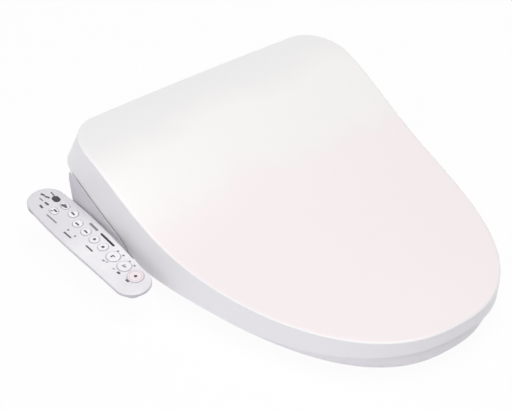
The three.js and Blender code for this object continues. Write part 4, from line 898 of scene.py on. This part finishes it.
def build_seat():
    seat = seat_form().object("seat_ring")
    recess = box_form(RECESS_HALF_WIDTH, RECESS_FRONT, RECESS_REAR, 0, RECESS_TOP)
    lining = box_form(RECESS_HALF_WIDTH + SEAT_WALL, OPENING_REAR + 1.5, SEAT_REAR - 1.2,
                      SEAT_BOTTOM, RECESS_TOP + SEAT_WALL).object("lining")
    carve(seat, recess.object("recess"))
    carve(seat, carve(lining, recess.object("channel")), "UNION")
    join_hinge_plates(seat, ear_form)
    finish_piece(seat, "seat", "seat", ["seat_upper_shell"],
                 rounding=SEAT_EDGE_ROUND)


def build_seat_cover():
    """The flat cover under the ring, open where the recess runs out to the rear."""
    outer = seat_outline()
    edge = inset(outer, SEAT_WALL + GAP)
    hole = opening_outline(outer, OPENING_DRAFT + SEAT_WALL + GAP)
    cover = band_form(hole, edge, SEAT_BOTTOM, SEAT_BOTTOM + COVER_THICKNESS).object("seat_underside")
    notch = box_form(RECESS_HALF_WIDTH + SEAT_WALL + GAP, OPENING_REAR - 4 - GAP, RECESS_REAR,
                     0, RECESS_TOP + 10)
    carve(cover, notch.object("notch"))
    finish_piece(cover, "seat", "seat", ["seat_lower_cover"],
                 rounding=COVER_EDGE_ROUND)


# ---------------------------------------------------------------- control arm
ARM = (Matrix.Translation(Vector(ARM_CENTRE)) @ Matrix.Rotation(math.radians(ARM_PITCH), 4, "X")
       @ Matrix.Rotation(math.radians(ARM_ROLL), 4, "Y"))


def arm_side(start, stop, swell, steps=24):
    """One long side of the arm, from its rear end to its front end, without its two ends."""
    share = np.linspace(0, 1, steps + 1)[1:-1, None]
    out = unit(np.array([start[1] - stop[1], stop[0] - start[0]]))
    out = out * np.sign(out @ (start - np.array(ARM_REAR_CENTRE)))
    # the swell is fullest a third of the way along, where 27/4 brings it to 1
    return start + (stop - start) * share + out * swell * 27 / 4 * share * (1 - share) ** 2


def arm_row(inward, depth, steps=32):
    """The arm's outline drawn inwards, at a depth from its face."""
    rear, front = np.array(ARM_REAR_CENTRE), np.array(ARM_FRONT_CENTRE)
    run = rear - front
    heading = math.atan2(run[1], run[0])
    reach = QUARTER + math.asin((ARM_REAR_RADIUS - ARM_FRONT_RADIUS) / np.linalg.norm(run))
    rear_end = arc(rear, ARM_REAR_RADIUS - inward, heading - reach, heading + reach, steps)
    front_end = arc(front, ARM_FRONT_RADIUS - inward, heading + reach, heading + 2 * math.pi - reach,
                    steps)
    outline = np.vstack([
        rear_end,
        arm_side(rear_end[-1], front_end[0], ARM_OUTER_SWELL),
        front_end,
        arm_side(rear_end[0], front_end[-1], ARM_INNER_SWELL)[::-1],
    ])
    return at_height(outline, depth)


def feature_outline(feature, widened=0.0, steps=20):
    """The outline of a key or a window on the panel, drawn outwards."""
    x, y, length, width = feature
    return slot_outline(x, y, length + 2 * widened, width + 2 * widened, steps)


def build_arm_panel():
    """The arm's upper casing: a shallow tray, face up, with a hole for each key and window."""
    turns = np.linspace(0, QUARTER, 7)
    edge = [arm_row(PANEL_ROUND * (1 - math.sin(a)), PANEL_ROUND * (math.cos(a) - 1)) for a in turns]
    rows = [arm_row(PANEL_FIELD, 0), *edge, arm_row(0, -ARM_RIM), arm_row(ARM_WALL, -ARM_RIM),
            arm_row(ARM_WALL, -ARM_WALL)]
    panel = Form().loft(rows, caps=True).object("arm_panel")
    holes = Form()
    for features, clearance in ((KEYS, KEY_CLEARANCE), (WINDOWS, GAP)):
        for feature in features.values():
            holes.prism(feature_outline(feature, clearance), -ARM_WALL - 1, 1, pillar_place)
    carve(panel, holes.object("holes"))
    panel.data.transform(scaled(ARM))
    finish_piece(panel, "housing", "panel", ["arm_upper_casing"], rounding=0.15)


def scaled(matrix):
    """A matrix in millimetres as one in metres."""
    result = matrix.copy()
    result.translation = matrix.translation * MM
    return result


def neck_section(x, low, high, front, rear):
    """A section of the neck across x, its corners rounded."""
    corner = min(NECK_CORNER, (high - low) / 2.2)
    outline = rounded_rectangle((front + rear) / 2, (low + high) / 2, rear - front, high - low, corner)
    return columns(x, outline[:, 0], outline[:, 1])


def neck_form():
    """The neck: it rises from the housing's end into the arm's hull."""
    along = (NECK_FRONT - ARM_CENTRE[1], NECK_REAR - ARM_CENTRE[1])
    in_arm = [neck_section(x, foot - ARM_DEPTH, -ARM_RIM - top, *along) for x, foot, top in NECK_SECTIONS]
    turn, place = np.array(ARM.to_3x3()), np.array(ARM.translation)
    ends = [
        neck_section(HOUSING_END - NECK_LANDING, NECK_FOOT + 1, NECK_TOP + 0.5, NECK_FRONT, NECK_REAR),
        neck_section(HOUSING_END - GAP, NECK_FOOT, NECK_TOP, NECK_FRONT, NECK_REAR),
    ]
    return Form().loft([*[row @ turn.T + place for row in in_arm], *ends], caps=True)


def cheek_form():
    """The cheek: it slopes from under the lid's rim out to the panel's inner edge."""
    rows = []
    for y, foot, out in CHEEK_SECTIONS:
        top = float(rim_height(y)) + CHEEK_LAP
        inner = -float(reach_at(RIM, min(y, 10))) - CHEEK_GAP
        wall = inner - CHEEK_WALL
        rows.append([
            (inner, y, foot - CHEEK_SOLE),
            (out, y, foot - CHEEK_SOLE),
            (out, y, foot),
            (wall + (out - wall) * 0.3, y, (top + foot) / 2),
            (wall, y, top - 1),
            (wall + 0.6, y, top),
            (inner, y, top),
        ])
    return Form().loft(faired([np.array(row, float) for row in rows], 4), caps=True)


def build_arm_hull():
    """The arm's lower casing: a shallow hull on a neck from the housing."""
    seam = -ARM_RIM - GAP
    depth = ARM_DEPTH - ARM_RIM
    shares = np.linspace(0, 1, 15)
    insets = HULL_INSET * np.interp(shares, HULL_SHARES, HULL_DRAWN)
    outer = [arm_row(inward, seam - share * depth) for share, inward in zip(shares, insets)]
    # the hollow's first row stands above the seam, and its floor leaves a wall below
    inner = [arm_row(inward + ARM_WALL, seam + (1 if share == 0 else 0) - share * depth)
             for share, inward in zip(shares[:-2], insets[:-2])]
    hull = Form().loft(outer, caps=True).moved(ARM).object("arm_hull")
    hollow = Form().loft(inner, caps=True).moved(ARM).object("hollow")
    carve(hull, neck_form().object("neck"), "UNION")
    carve(hull, hollow)
    carve(hull, cheek_form().object("cheek"), "UNION")
    finish_piece(hull, "housing", "arm", ["arm_lower_casing"],
                 rounding=HULL_EDGE_ROUND)


def on_panel(form, name, finish, body="housing", nodes=()):
    """Finish a form that was made flat on the panel, moved to its place on the arm."""
    finish_piece(form.moved(ARM).object(name), body, finish, nodes)


def capped_form(feature, flange, top, edge):
    """A key or a window: its flange under the panel, its sides and its eased edge."""
    seat = -ARM_WALL - GAP
    profile = [(-FLANGE_REACH, seat - flange), (-FLANGE_REACH, seat), (0, seat)]
    profile += [(inward, top - below) for inward, below in edge]
    rows = [at_height(feature_outline(feature, -inward), depth) for inward, depth in profile]
    return Form().loft(rows, caps=True)


def build_keys_and_windows():
    """The caps of the keys, one of them rose, and the dark and grey panes of the windows."""
    for name, feature in KEYS.items():
        cap = capped_form(feature, KEY_FLANGE, KEY_PROUD, KEY_EDGE)
        finish = "rose_key" if name == "key_stop" else "key"
        on_panel(cap, name + "_cap_face", finish, name + "_cap", [name])
    for name, feature in WINDOWS.items():
        pane = capped_form(feature, WINDOW_FLANGE, 0, WINDOW_EDGE)
        finish = "grey_window" if name == "energy_window" else "smoked"
        on_panel(pane, name + "_pane", finish, nodes=[name])


def bar_outline(start, end, width):
    """A bar with round ends from one point of the panel to another; it is a dot if they are one."""
    start, end = np.array(start, float), np.array(end, float)
    run = end - start
    angle = math.atan2(-run[0], run[1])
    turn = np.array([[math.cos(angle), -math.sin(angle)], [math.sin(angle), math.cos(angle)]])
    return slot_outline(0, 0, np.linalg.norm(run) + width, width) @ turn.T + (start + end) / 2


def print_bars(bars, name, height=0.0, body="housing"):
    """Bars of ink, each from a point to a point, with its width, on the panel or on top of a key."""
    for index, (start, end, width, ink) in enumerate(bars):
        bar = Form().prism(bar_outline(start, end, width), height - INK, height + INK, pillar_place)
        on_panel(bar, f"{name}_{index}", ink, body)


def printed_ring(feature, ring, height=0.0):
    """A ring of ink along a key's edge."""
    inside, outside = [feature_outline(feature, reach) for reach in ring]
    return band_form(inside, outside, height - INK, height + INK)


# plain bars and dots, a few for each key
KEY_MARKS = {
    "key_power": [((10.4, 72.0), (11.9, 66.0), 3.6, "ink_mid"),
                  ((13.6, 71.4), (13.8, 69.0), 2.0, "ink_grey")],
    "key_lamp": [((-2.0, 70.4), (-1.7, 66.4), 2.6, "ink_mid"),
                 ((-5.6, 71.8), (-5.2, 70.6), 2.2, "ink_grey")],
    "key_rear_wash": [((12.2, 53.8), (12.0, 48.6), 2.4, "ink_mid")],
    "key_soft_wash": [((5.8, 34.8), (6.0, 29.8), 2.4, "ink_mid")],
    "key_front_wash": [((6.5, 17.0), (6.6, 12.2), 2.2, "ink_mid")],
    "key_pressure_down": [((7.3, -2.7), (7.3, -2.7), 4.0, "ink_mid")],
    "key_pressure_up": [((7.7, -20.0), (7.7, -20.0), 4.0, "ink_mid")],
    "key_bidet": [((5.9, -39.9), (8.9, -39.3), 2.0, "ink_mid"),
                  ((8.9, -39.6), (9.2, -42.4), 1.8, "ink_grey")],
    "key_rear": [((7.9, -60.4), (9.4, -64.4), 2.0, "ink_grey"),
                 ((10.5, -60.6), (10.5, -60.6), 2.6, "ink_pale")],
    "key_stop": [((9.9, -84.0), (9.9, -84.0), 4.0, "ink")],
}
# bars where the panel has its labels
PANEL_BARS = [
    ((1.9, 105.4), (3.0, 101.8), 3.0, "ink_mid"),
    ((12.7, 100.9), (12.4, 94.4), 1.8, "ink_mid"),
    ((3.4, 98.4), (5.3, 94.2), 2.8, "ink_mid"),
    ((-4.0, 99.9), (-3.5, 94.2), 1.8, "ink_grey"),
    ((-2.9, 88.9), (-2.5, 84.0), 2.8, "ink_mid"),
    ((-10.6, 87.9), (-10.8, 84.0), 3.0, "ink_mid"),
    ((-13.2, 68.8), (-12.3, 50.2), 2.1, "ink_grey"),
    ((-13.8, 29.8), (-13.1, 17.4), 2.2, "ink_mid"),
    ((-6.1, -5.8), (-5.8, -17.5), 2.2, "ink_mid"),
    ((-4.5, -38.2), (-4.0, -39.6), 2.4, "ink_grey"),
    ((-2.8, -42.6), (-2.4, -44.0), 2.4, "ink_pale"),
    ((-3.1, -57.0), (-2.3, -59.0), 2.2, "ink_pale"),
    ((-2.1, -65.8), (-1.8, -67.8), 3.2, "ink_mid"),
    ((-1.5, -82.2), (-1.4, -85.2), 2.7, "ink_mid"),
]
# the small dots beside the keys: across, along, width and ink
PANEL_DOTS = [
    (18.1, -35.9, 3.0, "ink_grey"),
    (19.1, -45.8, 3.0, "ink_grey"),
    (19.1, -58.6, 2.6, "ink_grey"),
    (19.3, -68.0, 3.0, "ink_grey"),
    (-7.9, 30.6, 2.6, "ink_mid"),
    (-7.5, 16.5, 2.6, "ink_mid"),
]


def build_print():
    """The keys' marks and outlines, a rose ring on the stop key, and the panel's bars and dots."""
    for name, bars in KEY_MARKS.items():
        print_bars(bars, name + "_mark", KEY_PROUD, name + "_cap")
    ring = printed_ring(KEYS["key_stop"], STOP_RING, KEY_PROUD)
    on_panel(ring, "key_stop_ring", "ink_rose", "key_stop_cap")
    for name, feature in KEYS.items():
        on_panel(printed_ring(feature, KEY_RING), name + "_outline", "ink_pale")
    print_bars(PANEL_BARS, "panel_bar")
    print_bars([((x, y), (x, y), width, ink) for x, y, width, ink in PANEL_DOTS], "panel_dot")


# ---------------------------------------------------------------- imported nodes, dressed
# the nodes that keep their shape, by finish
CORNERS = ["front_left", "front_right", "rear_left", "rear_right"]
DRESS = {
    "pale_rubber": ["lid_buffer_" + corner for corner in CORNERS],
    "rubber": ["seat_buffer_" + corner for corner in CORNERS] + ["rubber_mat"],
    "steel": ["hinge_pin_left", "hinge_pin_right", "rear_wash_motor", "front_wash_motor"],
    "nylon": ["base_plate", "cable_gland", "water_inlet", "nozzle_guide", "seat_damper", "lid_damper",
              "wash_pump", "fan_impeller"],
    "black_nylon": ["inlet_valve", "fan_case"],
    "acetal": ["rear_wash_nozzle", "front_wash_nozzle", "bolt_clamp_left", "bolt_clamp_right"],
    "grey_acetal": ["rear_wash_pinion", "front_wash_pinion"],
    "tank": ["warm_water_tank", "carbon_cartridge"],
    "board": ["control_board", "arm_board"],
    "foil": ["seat_heater"],
    "hose": ["inlet_hose", "supply_hose", "wash_hose"],
}
# the casings behind the lid and the button on their side: body, and how far their edges are eased
CASINGS = {
    "housing_lower_case": ("housing", 0.7),
    "housing_upper_cover": ("housing", 0.9),
    "release_button": ("release", 0.6),
}
SAME_PLACE = 0.005
KEPT_EDGE_ROUND = 0.3


def dress_nodes():
    """Give each kept node its finish, and round its edges by modifiers."""
    for finish, names in DRESS.items():
        for name in names:
            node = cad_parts[name]
            node.material_slots[0].material = FINISH[finish]
            weld = node.modifiers.new("weld", "WELD")
            weld.merge_threshold = SAME_PLACE * MM
            round_edges(node, KEPT_EDGE_ROUND, 40)


def build_casings():
    """The housing's casings and its button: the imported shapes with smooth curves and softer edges."""
    for name, (body, rounding) in CASINGS.items():
        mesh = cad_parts[name].data.copy()
        work = bmesh.new()
        work.from_mesh(mesh)
        bmesh.ops.remove_doubles(work, verts=work.verts, dist=SAME_PLACE * MM)
        # flat faces lose their inner edges
        bmesh.ops.dissolve_limit(work, angle_limit=math.radians(0.5), verts=work.verts, edges=work.edges)
        work.to_mesh(mesh)
        work.free()
        piece = add_object(name + "_skin", mesh)
        finish_piece(piece, body, "housing", [name], sharp=24, rounding=rounding)


# ---------------------------------------------------------------- stage
WHITE = "#FFFFFF"
FLOOR_REACH = 4000
FLOOR_TOP = -0.5
FLOOR_BOTTOM = -20
# how much of the floor is plain white to the eye; what is left of it carries the shadow
FLOOR_WHITENESS = 0.95
# the strength of the studio's light from the far left, and from the far right
WORLD_LEFT = 0.72
WORLD_RIGHT = 0.16
# the softboxes, all turned to one place: where each stands, its diameter, and its power in watts
LAMP_AIM = (0, -200, 50)
LAMPS = {
    "key_softbox": ((100, -550, 2400), 1600, 31.5),
    "side_softbox": ((-2000, -600, 1000), 1400, 4.6),
}
CAMERA_AZIMUTH = -37.8
CAMERA_ELEVATION = 36.7
CAMERA_DISTANCE = 2017.1
CAMERA_TARGET = (2.0, -75.5, 0.0)
CAMERA_LENS = 112.5
CAMERA_SENSOR = 36.0
CAMERA_CLIP = 20000.0


def whitened(tree, own, white, share):
    """A shader with a share of white mixed in for rays from the camera, a mirror or glass alone."""
    path = add(tree, "LightPath")
    direct = add(tree, "Math", {0: path.outputs["Is Camera Ray"], 1: path.outputs["Is Glossy Ray"]},
                 operation="MAXIMUM")
    rays = add(tree, "Math", {0: direct.outputs["Value"], 1: path.outputs["Is Transmission Ray"]},
               operation="MAXIMUM")
    part = add(tree, "Math", {0: rays.outputs["Value"], 1: share}, operation="MULTIPLY")
    mix = add(tree, "MixShader", {0: part.outputs["Value"], 1: own, 2: white})
    return mix.outputs["Shader"]


def build_floor():
    """A pale floor that melts into a white backdrop and keeps a soft shadow."""
    floor = box_form(FLOOR_REACH, -FLOOR_REACH, FLOOR_REACH, FLOOR_BOTTOM, FLOOR_TOP).object("floor")
    material = bpy.data.materials.new("floor_paper")
    tree = empty_tree(material)
    paper = add(tree, "BsdfDiffuse", {"Color": srgb("#F3F2F7")}).outputs["BSDF"]
    glow = add(tree, "Emission", {"Color": srgb(WHITE), "Strength": 1.0}).outputs["Emission"]
    add(tree, "OutputMaterial", {"Surface": whitened(tree, paper, glow, FLOOR_WHITENESS)})
    floor.data.materials.append(material)


def build_world():
    """A white studio; its light weakens from the left to the right."""
    world = bpy.data.worlds.new("studio")
    bpy.context.scene.world = world
    tree = empty_tree(world)
    heading = add(tree, "TexCoord").outputs["Generated"]
    across = add(tree, "SeparateXYZ", {"Vector": heading}).outputs["X"]
    level = add(tree, "MapRange", {"Value": across, "From Min": -1.0, "From Max": 1.0,
                                   "To Min": WORLD_LEFT, "To Max": WORLD_RIGHT}).outputs["Result"]
    soft = add(tree, "Background", {"Color": srgb("#FAFAFD"), "Strength": level}).outputs["Background"]
    white = add(tree, "Background", {"Color": srgb(WHITE), "Strength": 1.0}).outputs["Background"]
    add(tree, "OutputWorld", {"Surface": whitened(tree, soft, white, 1.0)})


def set_up(data, place, toward):
    """Put a lamp or the camera at a place, turned the way it is to face."""
    rig = add_object(data.name, data)
    rig.location = place * MM
    rig.rotation_euler = toward.to_track_quat("-Z", "Y").to_euler()
    return rig


def build_lamps():
    for name, (place, size, power) in LAMPS.items():
        lamp = bpy.data.lights.new(name, "AREA")
        lamp.shape = "DISK"
        lamp.size = size * MM
        lamp.energy = power
        lamp.color = srgb("#FFFEFC")[:3]
        set_up(lamp, Vector(place), Vector(LAMP_AIM) - Vector(place))


def build_camera():
    azimuth, elevation = math.radians(CAMERA_AZIMUTH), math.radians(CAMERA_ELEVATION)
    back = Vector((math.sin(azimuth) * math.cos(elevation), -math.cos(azimuth) * math.cos(elevation),
                   math.sin(elevation)))
    data = bpy.data.cameras.new("camera")
    data.lens = CAMERA_LENS
    data.sensor_width = CAMERA_SENSOR
    data.clip_end = CAMERA_CLIP * MM
    bpy.context.scene.camera = set_up(data, Vector(CAMERA_TARGET) + back * CAMERA_DISTANCE, -back)


build_camera()
build_floor()
build_world()
build_lamps()
build_lid()
build_seat()
build_seat_cover()
build_arm_panel()
build_arm_hull()
build_keys_and_windows()
build_print()
build_casings()
dress_nodes()
bpy.context.scene.view_settings.view_transform = "Standard"
